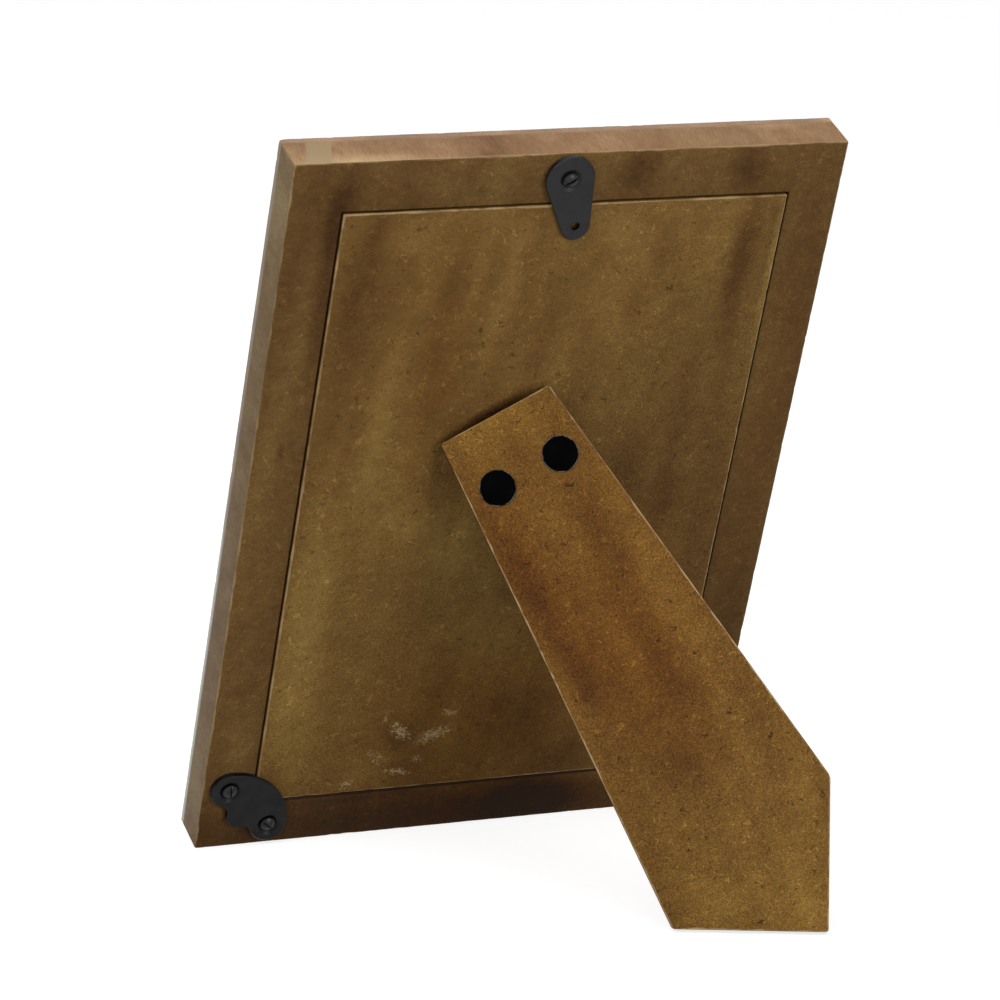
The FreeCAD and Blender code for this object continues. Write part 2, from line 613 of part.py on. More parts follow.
def corner_plate(name, placement):
    """Plate over one corner of the back. Its origin is the frame's corner; it is like about Y = X."""
    body = new_body(name)
    shape = new_sketch(body, name + "_shape")
    across, along = size("plate_lobe_across"), size("plate_lobe_along")
    lobe, bump = size("plate_lobe_diameter"), size("plate_bump_diameter")
    hollow = size("plate_hollow_diameter")
    upper, lower = V(across, along, 0), V(along, across, 0)
    heart = V(size("plate_arc_centre"), size("plate_arc_centre"), 0)
    knob = V(size("plate_bump_centre"), size("plate_bump_centre"), 0)
    upper_hollow = beside(upper, knob, (lobe + hollow) / 2, (bump + hollow) / 2)
    lower_hollow = V(upper_hollow.y, upper_hollow.x, 0)
    sweep = 2 * (upper - heart).Length + lobe
    large = arc(shape, heart, sweep, lower, upper)
    upper_lobe = arc(shape, upper, lobe, upper * 2 - heart, upper_hollow)
    upper_dip = arc(shape, upper_hollow, hollow, knob, upper)
    knob_arc = arc(shape, knob, bump, upper_hollow, lower_hollow)
    lower_dip = arc(shape, lower_hollow, hollow, lower, knob)
    lower_lobe = arc(shape, lower, lobe, lower_hollow, lower * 2 - heart)
    join_smoothly(shape, [(large, 2, upper_lobe, 1), (upper_lobe, 2, upper_dip, 2),
                          (upper_dip, 1, knob_arc, 1), (knob_arc, 2, lower_dip, 2),
                          (lower_dip, 1, lower_lobe, 1), (lower_lobe, 2, large, 1)])
    hold_point(shape, upper_lobe, 3, "plate_lobe_across", "plate_lobe_along")
    hold_point(shape, lower_lobe, 3, "plate_lobe_along", "plate_lobe_across")
    hold_point(shape, large, 3, "plate_arc_centre", "plate_arc_centre")
    hold_point(shape, knob_arc, 3, "plate_bump_centre", "plate_bump_centre")
    hold(shape, "plate_lobe_diameter / 2", "Radius", upper_lobe)
    hold(shape, "plate_bump_diameter / 2", "Radius", knob_arc)
    for dip in (upper_dip, lower_dip):
        hold(shape, "plate_hollow_diameter / 2", "Radius", dip)
    pad(body, shape, "plate_thickness")
    relief = new_sketch(body, name + "_relief")
    rectangle(relief, "rail_width", "rail_width", "2 * plate_lobe_along", "2 * plate_lobe_along")
    pocket(body, relief, "plate_relief", up=True)
    face = size("plate_thickness")
    dress(body, "Chamfer", "plate_bevel", lambda edge: lies_at(edge, face))
    for lobe_name, place in (("_upper", ("plate_lobe_across", "plate_lobe_along")),
                             ("_lower", ("plate_lobe_along", "plate_lobe_across"))):
        dimple(body, name + lobe_name, place, "plate_thickness", "plate_dimple")
    return finish(body, name, placement)


def beside(first, second, from_first, from_second):
    """The point at given distances from two points, on the right when looking from the first."""
    gap = (second - first).Length
    ahead = (from_first ** 2 - from_second ** 2 + gap ** 2) / (2 * gap)
    aside = math.sqrt(from_first ** 2 - ahead ** 2)
    forward = (second - first) / gap
    return first + forward * ahead + V(forward.y, -forward.x, 0) * aside


# Places
def move(x=0, y=0, z=0, about=None, angle=0):
    """A shift, with a turn about one axis before it."""
    rotation = FreeCAD.Rotation(about, angle) if about else FLAT
    return FreeCAD.Placement(V(x, y, z), rotation)


def build_all():
    """Makes each piece at its place with the frame's bottom back arris on the origin."""
    from_behind = FreeCAD.Placement(V(), FreeCAD.Rotation(-ALONG_X, ALONG_Z, ALONG_Y, "XYZ"))
    back = move(about=ALONG_X, angle=-size("lean_angle")) * from_behind
    hinge = back * move(size("hinge_across"), size("hinge_up"), size("pin_above_back"),
                        about=ALONG_Z, angle=size("hinge_angle"))
    leg = hinge * move(about=ALONG_X, angle=-size("open_angle"))
    frame_ring(back)
    front_facing(back)
    sheet_in_rebate("glass_pane", "glass_play", "rebate_depth", "glass_thickness", back)
    sheet_in_rebate("picture_sheet", "picture_play", "picture_under", "picture_thickness", back)
    backing_panel(back)
    easel_leg(leg)
    outer_knuckle = "(leaf_width - middle_knuckle) / 2 - knuckle_gap"
    hinge_leaf("hinge_leg_leaf", 1,
               [("-leaf_width / 2", outer_knuckle), ("middle_knuckle / 2 + knuckle_gap", outer_knuckle)],
               "leg_rivet_spacing", "leg_rivet_down", "leg_rivet_shank", leg)
    hinge_leaf("hinge_panel_leaf", -1, [("-middle_knuckle / 2", "middle_knuckle")],
               "panel_rivet_spacing", "panel_rivet_down", "panel_rivet_shank", hinge)
    hinge_pin(hinge * move(about=ALONG_Y, angle=QUARTER_TURN))
    for name, side in (("left", -1), ("right", 1)):
        in_leg = move(side * size("leg_rivet_spacing / 2"), -size("leg_rivet_down"),
                      size("leaf_seat + leg_thickness"))
        leg_rivet("leg_rivet_" + name, leg * in_leg)
        in_back = move(side * size("panel_rivet_spacing / 2"), -size("panel_rivet_down"),
                       -size("leaf_seat + panel_thickness"))
        panel_rivet("panel_rivet_" + name, hinge * in_back)
    pivot = back * move(size("button_across"), size("button_up"))
    turn_button(pivot * move(about=ALONG_Z, angle=size("button_turn_angle")))
    button_seat = size("button_lift + button_thickness - button_dimple")
    screw("turn_button_screw", pivot * move(z=button_seat, about=ALONG_Z, angle=SLOT_TURNS["button"]))
    half = size("frame_width / 2")
    plate_seat = size("plate_thickness - plate_dimple")
    places = {"side": (size("plate_lobe_across"), size("plate_lobe_along")),
              "bottom": (size("plate_lobe_along"), size("plate_lobe_across"))}
    for name, side, angle in (("left", -1, 0), ("right", 1, QUARTER_TURN)):
        corner_plate("corner_plate_" + name, back * move(side * half, about=ALONG_Z, angle=angle))
        for rail, (in_from_edge, up) in places.items():
            spot = move(side * (half - in_from_edge), up, plate_seat,
                        about=ALONG_Z, angle=SLOT_TURNS[f"{name}_{rail}"])
            screw(f"plate_screw_{name}_{rail}", back * spot)


def stand_on_origin():
    """Shifts everything so that the origin is the middle of the floor under the object."""
    box = FreeCAD.BoundBox()
    for feature in subparts:
        box.add(feature.Shape.optimalBoundingBox(False))
    shift = move(-(box.XMin + box.XMax) / 2, -(box.YMin + box.YMax) / 2)
    for feature in subparts:
        feature.Placement = shift * feature.Placement
    doc.recompute()
    print("moved by", shift.Base)


def test_and_write():
    """Stops if anything failed, then writes one file for each sub-part."""
    for feature in doc.Objects:
        if {"Invalid", "Error"} & set(feature.State):
            raise RuntimeError(f"{feature.Name}: {feature.State}")
    os.makedirs("parts", exist_ok=True)
    for feature in subparts:
        shape = feature.Shape
        if shape.isNull() or not shape.isValid() or len(shape.Solids) != 1:
            raise RuntimeError(f"{feature.Label} is not one valid solid")
        shape.exportStep(os.path.join("parts", feature.Label + ".step"))
        print(f"{feature.Label}: {shape.Volume:.2f} mm3")


fill_sheet()
build_all()
stand_on_origin()
test_and_write()
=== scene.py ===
"""Looks of an easel back photo frame: stained fibreboard, black fittings, glass and a blank card.

Laid out as a Blender add-on and run as a script. Lengths are in metres. x runs to the right as seen
from the front, y from the front to the back, and z up from the table.
"""

import json
import math
import random
from functools import reduce

import bmesh
import bpy
from bpy.props import FloatProperty, FloatVectorProperty, IntProperty, PointerProperty
from mathutils import Matrix, Vector, noise
from mathutils.geometry import convex_hull_2d, intersect_line_line


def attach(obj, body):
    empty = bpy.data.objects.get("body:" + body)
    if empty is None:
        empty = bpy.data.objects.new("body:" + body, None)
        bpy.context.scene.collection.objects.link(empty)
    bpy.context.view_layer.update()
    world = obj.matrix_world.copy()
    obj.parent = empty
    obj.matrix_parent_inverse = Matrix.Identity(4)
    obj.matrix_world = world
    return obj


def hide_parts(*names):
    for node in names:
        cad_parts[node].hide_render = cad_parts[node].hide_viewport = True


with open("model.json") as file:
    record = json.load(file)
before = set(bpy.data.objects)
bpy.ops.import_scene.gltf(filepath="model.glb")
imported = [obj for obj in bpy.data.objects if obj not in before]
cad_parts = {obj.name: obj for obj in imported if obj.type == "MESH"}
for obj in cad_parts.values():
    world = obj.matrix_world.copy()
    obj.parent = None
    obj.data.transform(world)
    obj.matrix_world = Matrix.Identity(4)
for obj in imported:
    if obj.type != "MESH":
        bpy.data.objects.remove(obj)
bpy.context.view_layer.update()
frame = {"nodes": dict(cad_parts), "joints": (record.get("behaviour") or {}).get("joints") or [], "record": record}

bl_info = {
    "name": "Easel Back Photo Frame",
    "version": (1, 0, 0),
    "blender": (4, 5, 0),
    "location": "3D View > Sidebar > Photo Frame",
    "description": "Worn fibreboard, black fittings, glass and card on the packed photo frame",
    "category": "Object",
}

MM = 0.001
NODES = frame["nodes"]
RECORD = frame["record"]


# Spaces of the boards
def board_space(across, out, origin):
    """Space of a board: x across it, y up it and z out of its broad face."""
    turn = Matrix((across, out.cross(across), out)).transposed().to_4x4()
    return Matrix.Translation(origin) @ turn


def points_of(node, space):
    """Vertices of a node in a space."""
    back = space.inverted()
    return [back @ vertex.co for vertex in NODES[node].data.vertices]


def extent(node, space):
    """Lowest and highest corner of a node in a space."""
    columns = list(zip(*points_of(node, space)))
    return Vector(map(min, columns)), Vector(map(max, columns))


def mount_axis(name):
    """Direction out of a flat face of the frame."""
    return Vector(next(mount["axis"] for mount in RECORD["mounts"] if mount["name"] == name))


def ring_space():
    """The frame seen from behind, with its origin in the middle of the bottom back edge."""
    across = mount_axis("long_edge")
    out = mount_axis("bottom_edge").cross(across)
    turned = board_space(across, out, Vector())
    low, high = extent("frame_ring", turned)
    return turned @ Matrix.Translation(((low.x + high.x) / 2, low.y, high.z))


def leg_space():
    """The open leg seen from its outer face, with its origin in the middle of the hinge pin."""
    pin = next(joint for joint in frame["joints"] if joint["name"] == "leg_fold")
    across = Vector(pin["axis"])
    opened = Matrix.Rotation(-math.radians(pin["range_deg"][1]), 3, across)
    return board_space(across, opened @ BACK.col[2].to_3d(), Vector(pin["pos_m"]))


BACK = ring_space()
LEG = leg_space()
RING_LOW, RING_HIGH = extent("frame_ring", BACK)
FACING_LOW, FACING_HIGH = extent("front_facing", BACK)
PANEL_LOW, PANEL_HIGH = extent("backing_panel", BACK)
GLASS_LOW, GLASS_HIGH = extent("glass_pane", BACK)
LEG_LOW, LEG_HIGH = extent("easel_leg", LEG)


# What a user would change
def colour_setting(name, description, default):
    """A colour that a user can change."""
    return FloatVectorProperty(
        name=name, description=description, subtype="COLOR", min=0, max=1, default=default)


def length_setting(name, description, default, lowest, highest):
    """A length that a user can change."""
    return FloatProperty(
        name=name, description=description, default=default, min=lowest, max=highest,
        precision=5, unit="LENGTH")


def level_setting(name, description, default):
    """A level of light that a user can change."""
    return FloatProperty(name=name, description=description, default=default, min=0)


class BoardSettings(bpy.types.PropertyGroup):
    """Wear and colours of the fibreboard pieces."""

    arris: length_setting(
        "Worn Arris", "Width that use has taken off a sawn edge", 0.26 * MM, 0.05 * MM, 0.6 * MM)
    corner: length_setting(
        "Worn Corner", "Radius of a board's upright corners", 0.35 * MM, 0.05 * MM, 1 * MM)
    step: length_setting("Step", "Length of one facet along a worn edge", 0.7 * MM, 0.3 * MM, 5 * MM)
    chip_spacing: length_setting(
        "Chip Spacing", "Mean distance from one small chip to the next", 14 * MM, 1 * MM, 100 * MM)
    seed: IntProperty(
        name="Seed", description="Start of the random chips", default=7, min=0)
    ring_tone: colour_setting("Ring", "Stain on the back of the ring", (0.117, 0.0595, 0.0162))
    panel_tone: colour_setting("Back", "Stain on the loose back", (0.139, 0.072, 0.0176))
    leg_tone: colour_setting("Leg", "Stain on the leg", (0.126, 0.0595, 0.0110))
    edge_tone: colour_setting("Sawn Edge", "Stain on the sawn sides of the ring", (0.162, 0.106, 0.060))
    # The top edge's tone is lighter than the sides' partly as painted light from above, and warmer as a stain.
    lit_warm_top_tone: colour_setting("Top Edge", "Stain on the sawn top of the ring", (0.238, 0.134, 0.068))
    worn_tone: colour_setting("Worn", "Bare fibre where an arris is rubbed", (0.36, 0.25, 0.12))
    scuff_tone: colour_setting("Scuffs", "Torn pale fibre on the loose back", (0.47, 0.345, 0.17))


class FittingSettings(bpy.types.PropertyGroup):
    """Colours of the metal pieces."""

    black_tone: colour_setting(
        "Black Paint", "Paint on the plates, screws and rivets", (0.006, 0.006, 0.0068))
    steel_tone: colour_setting("Steel", "Plated sheet of the hinge", (0.46, 0.45, 0.42))
    black_roughness: FloatProperty(
        name="Black Roughness", description="Roughness of the black paint",
        default=0.42, min=0, max=1, subtype="FACTOR")


class FrontSettings(bpy.types.PropertyGroup):
    """Colours of the pieces that show from the front."""

    facing_tone: colour_setting("Facing", "Paint on the front facing", (0.36, 0.39, 0.33))
    card_tone: colour_setting("Card", "Blank card behind the glass", (0.80, 0.78, 0.73))
    glass_tone: colour_setting("Glass", "Tint of the glass", (0.93, 0.985, 0.96))


class StageSettings(bpy.types.PropertyGroup):
    """Camera, lamps and floor."""

    camera_place: FloatVectorProperty(
        name="Camera", description="Place of the camera",
        subtype="TRANSLATION", unit="LENGTH", default=(0.38243, 0.91189, 0.31203))
    camera_direction: FloatVectorProperty(
        name="View", description="Direction that the camera looks in",
        subtype="DIRECTION", default=(-0.36903, -0.90259, -0.22171))
    camera_roll: FloatProperty(
        name="Roll", description="Turn of the camera about its view",
        default=math.radians(1.095), subtype="ANGLE")
    camera_lens: FloatProperty(
        name="Lens", description="Focal length of the camera in millimetres",
        default=166.26, min=1, subtype="DISTANCE_CAMERA")
    world_level: level_setting("World", "Light from all round", 0.48)
    key_level: level_setting(
        "Key Lamp", "Level that the key lamp adds to a surface that faces it", 0.50)
    fill_level: level_setting(
        "Fill Lamp", "Level that the fill lamp adds to a surface that faces it", 0.34)
    top_level: level_setting(
        "Top Lamp", "Level that the top lamp adds to a surface that faces it", 0.34)
    floor_tone: colour_setting("Floor", "Floor as the camera sees it", (0.46, 0.46, 0.46))
    floor_glow: colour_setting(
        "Floor Glow", "Light that the floor itself shows the camera", (0.74, 0.74, 0.74))
    floor_bounce: colour_setting("Floor Bounce", "Floor as it lights the frame", (0.46, 0.45, 0.44))


# Shader maths
class Wire:
    """An output of a node. Arithmetic on wires and numbers adds Math nodes."""

    def __init__(self, finish, socket):
        self.finish = finish
        self.socket = socket

    def math(self, operation, *others):
        """A Math node with this wire first."""
        return self.finish.add("ShaderNodeMath", {"operation": operation}, (self, *others))

    def __add__(self, other):
        return self.math("ADD", other)

    __radd__ = __add__

    def __sub__(self, other):
        return self.math("SUBTRACT", other)

    def __rsub__(self, other):
        return self.finish.add("ShaderNodeMath", {"operation": "SUBTRACT"}, (other, self))

    def __mul__(self, other):
        return self.math("MULTIPLY", other)

    __rmul__ = __mul__

    def __truediv__(self, other):
        return self.math("DIVIDE", other)

    def __abs__(self):
        return self.math("ABSOLUTE")

    def least(self, other):
        """The lower of two values."""
        return self.math("MINIMUM", other)

    def most(self, other):
        """The higher of two values."""
        return self.math("MAXIMUM", other)

    def sway(self, amount):
        """A value from 0 to 1 as a swing about 0, so wide in all."""
        return (self - 0.5) * amount

    def dot(self, direction):
        """Length of this vector along a direction."""
        return self.finish.add(
            "ShaderNodeVectorMath", {"operation": "DOT_PRODUCT"}, (self, direction), "Value")

    def smooth(self, low, high):
        """0 at low, 1 at high and a soft step between them."""
        return self.finish.add(
            "ShaderNodeMapRange", {"interpolation_type": "SMOOTHSTEP"},
            {"Value": self, "From Min": low, "From Max": high})

    def inside(self, low, high):
        """1 below low, 0 above high and a soft step between them."""
        return 1 - self.smooth(low, high)


class Finish:
    """A material, or the world, built from its own shader backwards."""

    def __init__(self, name, constants, world=False):
        self.owner = bpy.data.worlds.new(name) if world else bpy.data.materials.new(name)
        self.owner.use_nodes = True
        self.tree = self.owner.node_tree
        self.shader = self.tree.nodes["Background" if world else "Principled BSDF"]
        for socket, value in constants.items():
            self.plug(self.shader, socket, value)

    def plug(self, node, socket, value):
        """Links a wire to a socket, or sets the socket to a number, a vector or a colour."""
        target = node.inputs[socket]
        if isinstance(value, Wire):
            self.tree.links.new(value.socket, target)
        elif target.type == "RGBA":
            target.default_value = (*value[:3], 1)
        else:
            target.default_value = value

    def add(self, kind, settings=None, values=(), output=0):
        """Adds a node: its settings first, then the values or links of its sockets."""
        node = self.tree.nodes.new(kind)
        for name, setting in (settings or {}).items():
            if name == "stops":
                self.set_stops(node.color_ramp, setting)
            else:
                setattr(node, name, setting)
        pairs = values.items() if isinstance(values, dict) else enumerate(values)
        for socket, value in pairs:
            self.plug(node, socket, value)
        return Wire(self, node.outputs[output])

    @staticmethod
    def set_stops(ramp, stops):
        """Gives a colour ramp its stops."""
        while len(ramp.elements) < len(stops):
            ramp.elements.new(1)
        for element, (position, colour) in zip(ramp.elements, stops):
            element.position = position
            element.color = (*colour, 1)

    def blend(self, share, first, second, mode="MIX"):
        """Mixes two colours by a share of the second."""
        return self.add(
            "ShaderNodeMix", {"data_type": "RGBA", "blend_type": mode},
            {0: share, 6: first, 7: second}, 2)

    def ramp(self, value, stops):
        """Colour of a value on a ramp."""
        return self.add("ShaderNodeValToRGB", {"stops": stops}, (value,))

    def join(self, x, y, z):
        """A vector of three values."""
        return self.add("ShaderNodeCombineXYZ", None, (x, y, z))

    def moved(self, point, seed):
        """A point moved by a seed, so that each texture is drawn from another place."""
        return self.add("ShaderNodeVectorMath", {"operation": "ADD"}, (point, SEED_STEP * seed))

    def noise(self, point, size, detail=2, rough=0.5, bend=0.0, seed=0):
        """Soft noise from 0 to 1 with features of about a size."""
        return self.add("ShaderNodeTexNoise", None, {
            "Vector": self.moved(point, seed), "Scale": 1 / size, "Detail": detail,
            "Roughness": rough, "Distortion": bend})

    def cells(self, point, size, seed=0):
        """Distance from the nearest random dot, in sizes, and a random number for each dot."""
        distance = self.add(
            "ShaderNodeTexVoronoi", None, {"Vector": self.moved(point, seed), "Scale": 1 / size})
        colour = Wire(self, distance.socket.node.outputs["Color"])
        return distance, colour.dot((1, 0, 0))

    def place(self, space):
        """Across, up and out of a board's space, as three wires, and the three as one vector."""
        point = self.add("ShaderNodeTexCoord", output="Object")
        across, up, out = [point.dot(row.to_3d()) + row.w for row in space.inverted().to_4x4()[:3]]
        return across, up, out, self.join(across, up, out)

    def strands(self, point, length, width, cover, seed):
        """Thin curved fibres: lines where a soft noise is even, cut into short lengths."""
        field = self.noise(point, length, detail=0, bend=STRAND_BEND, seed=seed)
        line = abs(field - 0.5).inside(0, width)
        cut = self.noise(point, length * STRAND_CUT_SHARE, detail=0, seed=seed + 1)
        return line * cut.smooth(1 - cover, 1 - cover + STRAND_FADE)

    def cover(self, colour, roughness=None, height=None, relief=0.0):
        """Wires the shader's colour, roughness and surface relief, and returns the material."""
        self.plug(self.shader, "Base Color", colour)
        if roughness is not None:
            self.plug(self.shader, "Roughness", roughness)
        if height is not None:
            normal = self.add(
                "ShaderNodeBump", None, {"Strength": 1, "Distance": relief, "Height": height})
            self.plug(self.shader, "Normal", normal)
        return self.owner


SEED_STEP = Vector((0.173, 0.091, 0.237))
STRAND_BEND = 0.9
STRAND_CUT_SHARE = 0.9
STRAND_FADE = 0.06
SIDE_BLEND = 0.05 * MM
STREAK_SEED = 3
STREAKS = 0.34
STREAK_LEAN = 0.13
STREAK_STRETCH = 0.09
MOTTLE = 0.2
COARSE_FROM = -190 * MM
COARSE_TO = -60 * MM
DARKER_EDGE = 0.2
SPECK_SPACING = 3.1 * MM
SPECK_RADIUS = (0.05, 0.12)
SPECK_CHANCE = (0.6, 0.62)
# Painted shade along the ring's rebate: its share, reach and core, and how much wider it is below the loose back
REBATE_SHADE_SHARE = 0.75
REBATE_SHADE_REACH = 0.35 * MM
REBATE_SHADE_CORE = 0.1 * MM
REBATE_SHADOW_LOW = 0.5 * MM
WORN_CORE = 0.3
PATCHY_WEAR = 0.6
FLAKE_SHARE = 0.8
BOARD_ROUGHNESS = 0.62
BOARD_RELIEF = 0.14 * MM
YELLOWED_SHARE = 0.35
YELLOWED_FROM = 60 * MM
YELLOWED_TO = 140 * MM
YELLOW_STAIN = (1.0, 1.0, 0.6)
BLEACHED_SHARE = 0.8
BLEACHED_START = (-62.0 * MM, -60.8 * MM)
BLEACHED_END = (-55.5 * MM, -56.0 * MM)
BLEACHED_SLANT = 0.32
SLOT_SHADE_DEPTH = 0.42 * MM
SCREW_HEAD = 1.45 * MM
SCREW_SHADE = (2.0 * MM, 2.9 * MM)
RIVET_RIM_INSETS = (0.16 * MM, 0.04 * MM)
BRUSH_STRETCH = 0.03
BRUSH_WIDTH = 0.35 * MM
MITRE_BLEND = 0.02 * MM
BARE_FROM = 60 * MM
BARE_TO = 125 * MM
PAINT_DEPTH = (1.2 * MM, 1.8 * MM)
RUBBED_PAINT = (0.40, 0.33, 0.22)
SCRATCHED = (0.08, 0.08, 0.08)
WORN_SCREW = (0.018, 0.018, 0.018)
SCREW_RIM_SHADE = (0.002, 0.002, 0.002)
SLOT_BLACK = (0.001, 0.001, 0.001)
RIVET_BLACK = (0.0008, 0.0007, 0.0009)
RIVET_RIM_GLINT_AND_WEAR = (0.15, 0.155, 0.17)
PALE_FIBRE = (1.9, 2.05, 2.25)
DARK_FIBRE = (0.22, 0.18, 0.16)
# Colour of the painted shade along the rebate
REBATE_SHADE_COLOUR = (0.12, 0.10, 0.09)
WARM_TINT = (1.0, 0.85, 0.60)
BLEACHED = (0.30, 0.225, 0.125)
GLASS_REFLECTION = 0.04
# Places on a board's colour ramp, each with its shares of the board's red, green and blue
BOARD_RAMP = (
    (0.0, (0.15, 0.12, 0.10)),
    (0.25, (0.50, 0.42, 0.33)),
    (0.5, (1, 1, 1)),
    (0.75, (1.75, 2.1, 2.2)),
    (1.0, (2.8, 3.4, 4.2)),
)


def spot(across, up, place):
    """A soft oval: its strength in the middle and 0 outside it."""
    middle_x, middle_y, wide, high, strength, *lean = place
    turn = math.radians(lean[0] if lean else 0)
    x, y = across - middle_x * MM, up - middle_y * MM
    along_x = (x * math.cos(turn) + y * math.sin(turn)) / (wide * MM)
    along_y = (y * math.cos(turn) - x * math.sin(turn)) / (high * MM)
    return (along_x * along_x + along_y * along_y).math("SQRT").inside(0, 1) * strength


def stained(value, across, up, places):
    """A value with soft ovals added to it."""
    for place in places:
        value = value + spot(across, up, place)
    return value


def rim_of(corners, across, up):
    """Distance inwards from the nearest edge of a board's outline."""
    distances = []
    for start, end in zip(corners, corners[1:] + corners[:1]):
        inward = inward_of(start, end)
        distances.append(across * inward.x + up * inward.y - inward.dot(start))
    return reduce(Wire.least, distances)


def inward_of(start, end):
    """Direction into an outline that runs against the clock, square to one of its edges."""
    along = (end - start).normalized()
    return Vector((-along.y, along.x))


def shaded(tone, share):
    """A tone made darker or lighter."""
    return tuple(channel * share for channel in tone)


def stops_of(tone):
    """Colour ramp of a stained board, from its dark pores to its pale fibres."""
    return [
        (position, tuple(channel * share for channel, share in zip(tone, shares)))
        for position, shares in BOARD_RAMP]


def fibreboard(name, space, corners, face, thickness, tone, look):
    """Stained fibreboard: streaks, mottling, grain, fibres, specks, sawn edges and worn arrises."""
    boards = bpy.context.scene.photo_frame_boards
    finish = Finish(name, {"Specular IOR Level": 0.12})
    seed = look["seed"]
    place = across, up, out, point = finish.place(space)
    depth = face - out
    within = depth.least(thickness - depth)
    rim = rim_of(corners, across, up)
    side = (within - rim).smooth(0, SIDE_BLEND)
    arris = rim.most(within)

    drawn = finish.join(across - up * STREAK_LEAN, up * STREAK_STRETCH, out)
    streaks = finish.noise(drawn, 11 * MM, detail=1, seed=STREAK_SEED)
    mottle = finish.noise(point, 4.2 * MM, rough=0.6, bend=0.4, seed=seed + 1)
    grain = finish.noise(point, 0.26 * MM, rough=0.75, seed=seed + 2)
    tuft = finish.noise(point, 1.1 * MM, rough=0.6, bend=0.8, seed=seed + 3)
    uneven = (1 - look["even"]) * 2 * (across - up).smooth(COARSE_FROM, COARSE_TO)
    share = 0.5 + streaks.sway(STREAKS) + mottle.sway(MOTTLE)
    share = share + grain.sway(look["even"] + uneven) * look["grain"] + tuft.sway(look["tufts"])
    share = stained(share, across, up, look["spots"])
    colour = finish.ramp(share, stops_of(tone))
    for warm in look["warm"]:
        colour = finish.blend(spot(across, up, warm), colour, WARM_TINT, "MULTIPLY")

    pale = finish.strands(point, 2.1 * MM, width=0.045, cover=0.44, seed=seed + 5)
    dark = finish.strands(point, 2.4 * MM, width=0.036, cover=0.38, seed=seed + 9)
    bent = finish.join(across + tuft * MM, up + mottle * MM, out)
    distance, chance = finish.cells(bent, SPECK_SPACING, seed + 11)
    speck = distance.inside(*SPECK_RADIUS) * chance.smooth(*SPECK_CHANCE)
    for kind, mask, tint in (
            ("fibres", pale, PALE_FIBRE), ("strokes", dark, DARK_FIBRE), ("specks", speck, DARK_FIBRE)):
        colour = finish.blend(mask * look[kind], colour, tint, "MULTIPLY")

    if "top" in look:
        edge = sawn_edge(finish, place, grain, mottle, look)
    else:
        edge = finish.ramp(share - DARKER_EDGE, stops_of(tone))
    colour = finish.blend(side, colour, edge)
    # Painted shade along the rebate: the ring darkens next to the loose back, and more widely below its bottom
    # edge as a painted shadow of that edge.
    if "rebate" in look:
        rebate = look["rebate"]
        low = up.inside(rebate, rebate + MM)
        rebate_shade = (rim + low * REBATE_SHADOW_LOW).smooth(rebate - REBATE_SHADE_REACH, rebate - REBATE_SHADE_CORE)
        colour = finish.blend(rebate_shade * REBATE_SHADE_SHARE, colour, REBATE_SHADE_COLOUR, "MULTIPLY")

    rubbed = arris + mottle.sway(0.9 * MM) + grain.sway(0.5 * MM)
    worn = rubbed.inside(look["worn"] * WORN_CORE, look["worn"])
    patchy = finish.noise(point, 9 * MM, detail=1, seed=seed + 15).smooth(0.3, 0.6)
    colour = finish.blend(worn * (patchy * PATCHY_WEAR + look["bare"]), colour, boards.worn_tone)

    if look["scuffs"]:
        flakes = torn_flakes(finish, place, grain, look)
        colour = finish.blend(flakes * FLAKE_SHARE, colour, boards.scuff_tone)
    height = grain * 0.7 + tuft * 0.3
    return finish.cover(colour, BOARD_ROUGHNESS + grain * 0.2, height, BOARD_RELIEF)


def sawn_edge(finish, place, grain, mottle, look):
    """Colour of the sawn sides of a board, warmer and lighter on the top one: the lighter top is partly painted
    light from above.
    """
    boards = bpy.context.scene.photo_frame_boards
    across, up, out, _ = place
    seed = look["seed"]
    cloud = finish.noise(finish.join(across, up, out * 0.5), 8 * MM, bend=0.6, seed=seed + 12)
    sawn = finish.noise(
        finish.join(across, up, out * 0.2), 0.5 * MM, detail=3, rough=0.65, seed=seed + 4)
    share = 0.5 + sawn.sway(0.26) + mottle.sway(0.16) + grain.sway(0.4) + cloud.sway(0.24)
    share = stained(share, across, up, EDGE_SPOTS)
    sides = finish.ramp(share, stops_of(boards.edge_tone))
    yellowed = up.smooth(YELLOWED_FROM, YELLOWED_TO) * YELLOWED_SHARE
    sides = finish.blend(yellowed, sides, YELLOW_STAIN, "MULTIPLY")

    share = stained(share, across, out, TOP_SPOTS)
    slanted = across + out * BLEACHED_SLANT
    bleached = slanted.smooth(*BLEACHED_START) * slanted.smooth(*BLEACHED_END)
    lit_crown = finish.ramp(share, stops_of(boards.lit_warm_top_tone))
    lit_crown = finish.blend(bleached * BLEACHED_SHARE, lit_crown, BLEACHED)
    return finish.blend(up.smooth(look["top"] - MM, look["top"]), sides, lit_crown)


def torn_flakes(finish, place, grain, look):
    """1 where small pale flakes and hairs of fibre stand up from a scuffed face."""
    across, up, out, point = place
    seed = look["seed"]
    torn = reduce(Wire.most, [spot(across, up, scuff) for scuff in look["scuffs"]])
    crumb = finish.noise(
        finish.join(across, up * 1.6, out), 0.6 * MM, detail=3, rough=0.75, bend=1.2, seed=seed + 13)
    hair = finish.strands(point, 1.1 * MM, width=0.12, cover=0.5, seed=seed + 14)
    crumbs = (torn * 0.55 + crumb.sway(3.4) + grain.sway(0.8)).smooth(0.4, 0.6)
    return (crumbs * torn.smooth(0, 0.3)).most(hair * torn.smooth(0, 0.25) * 0.9)


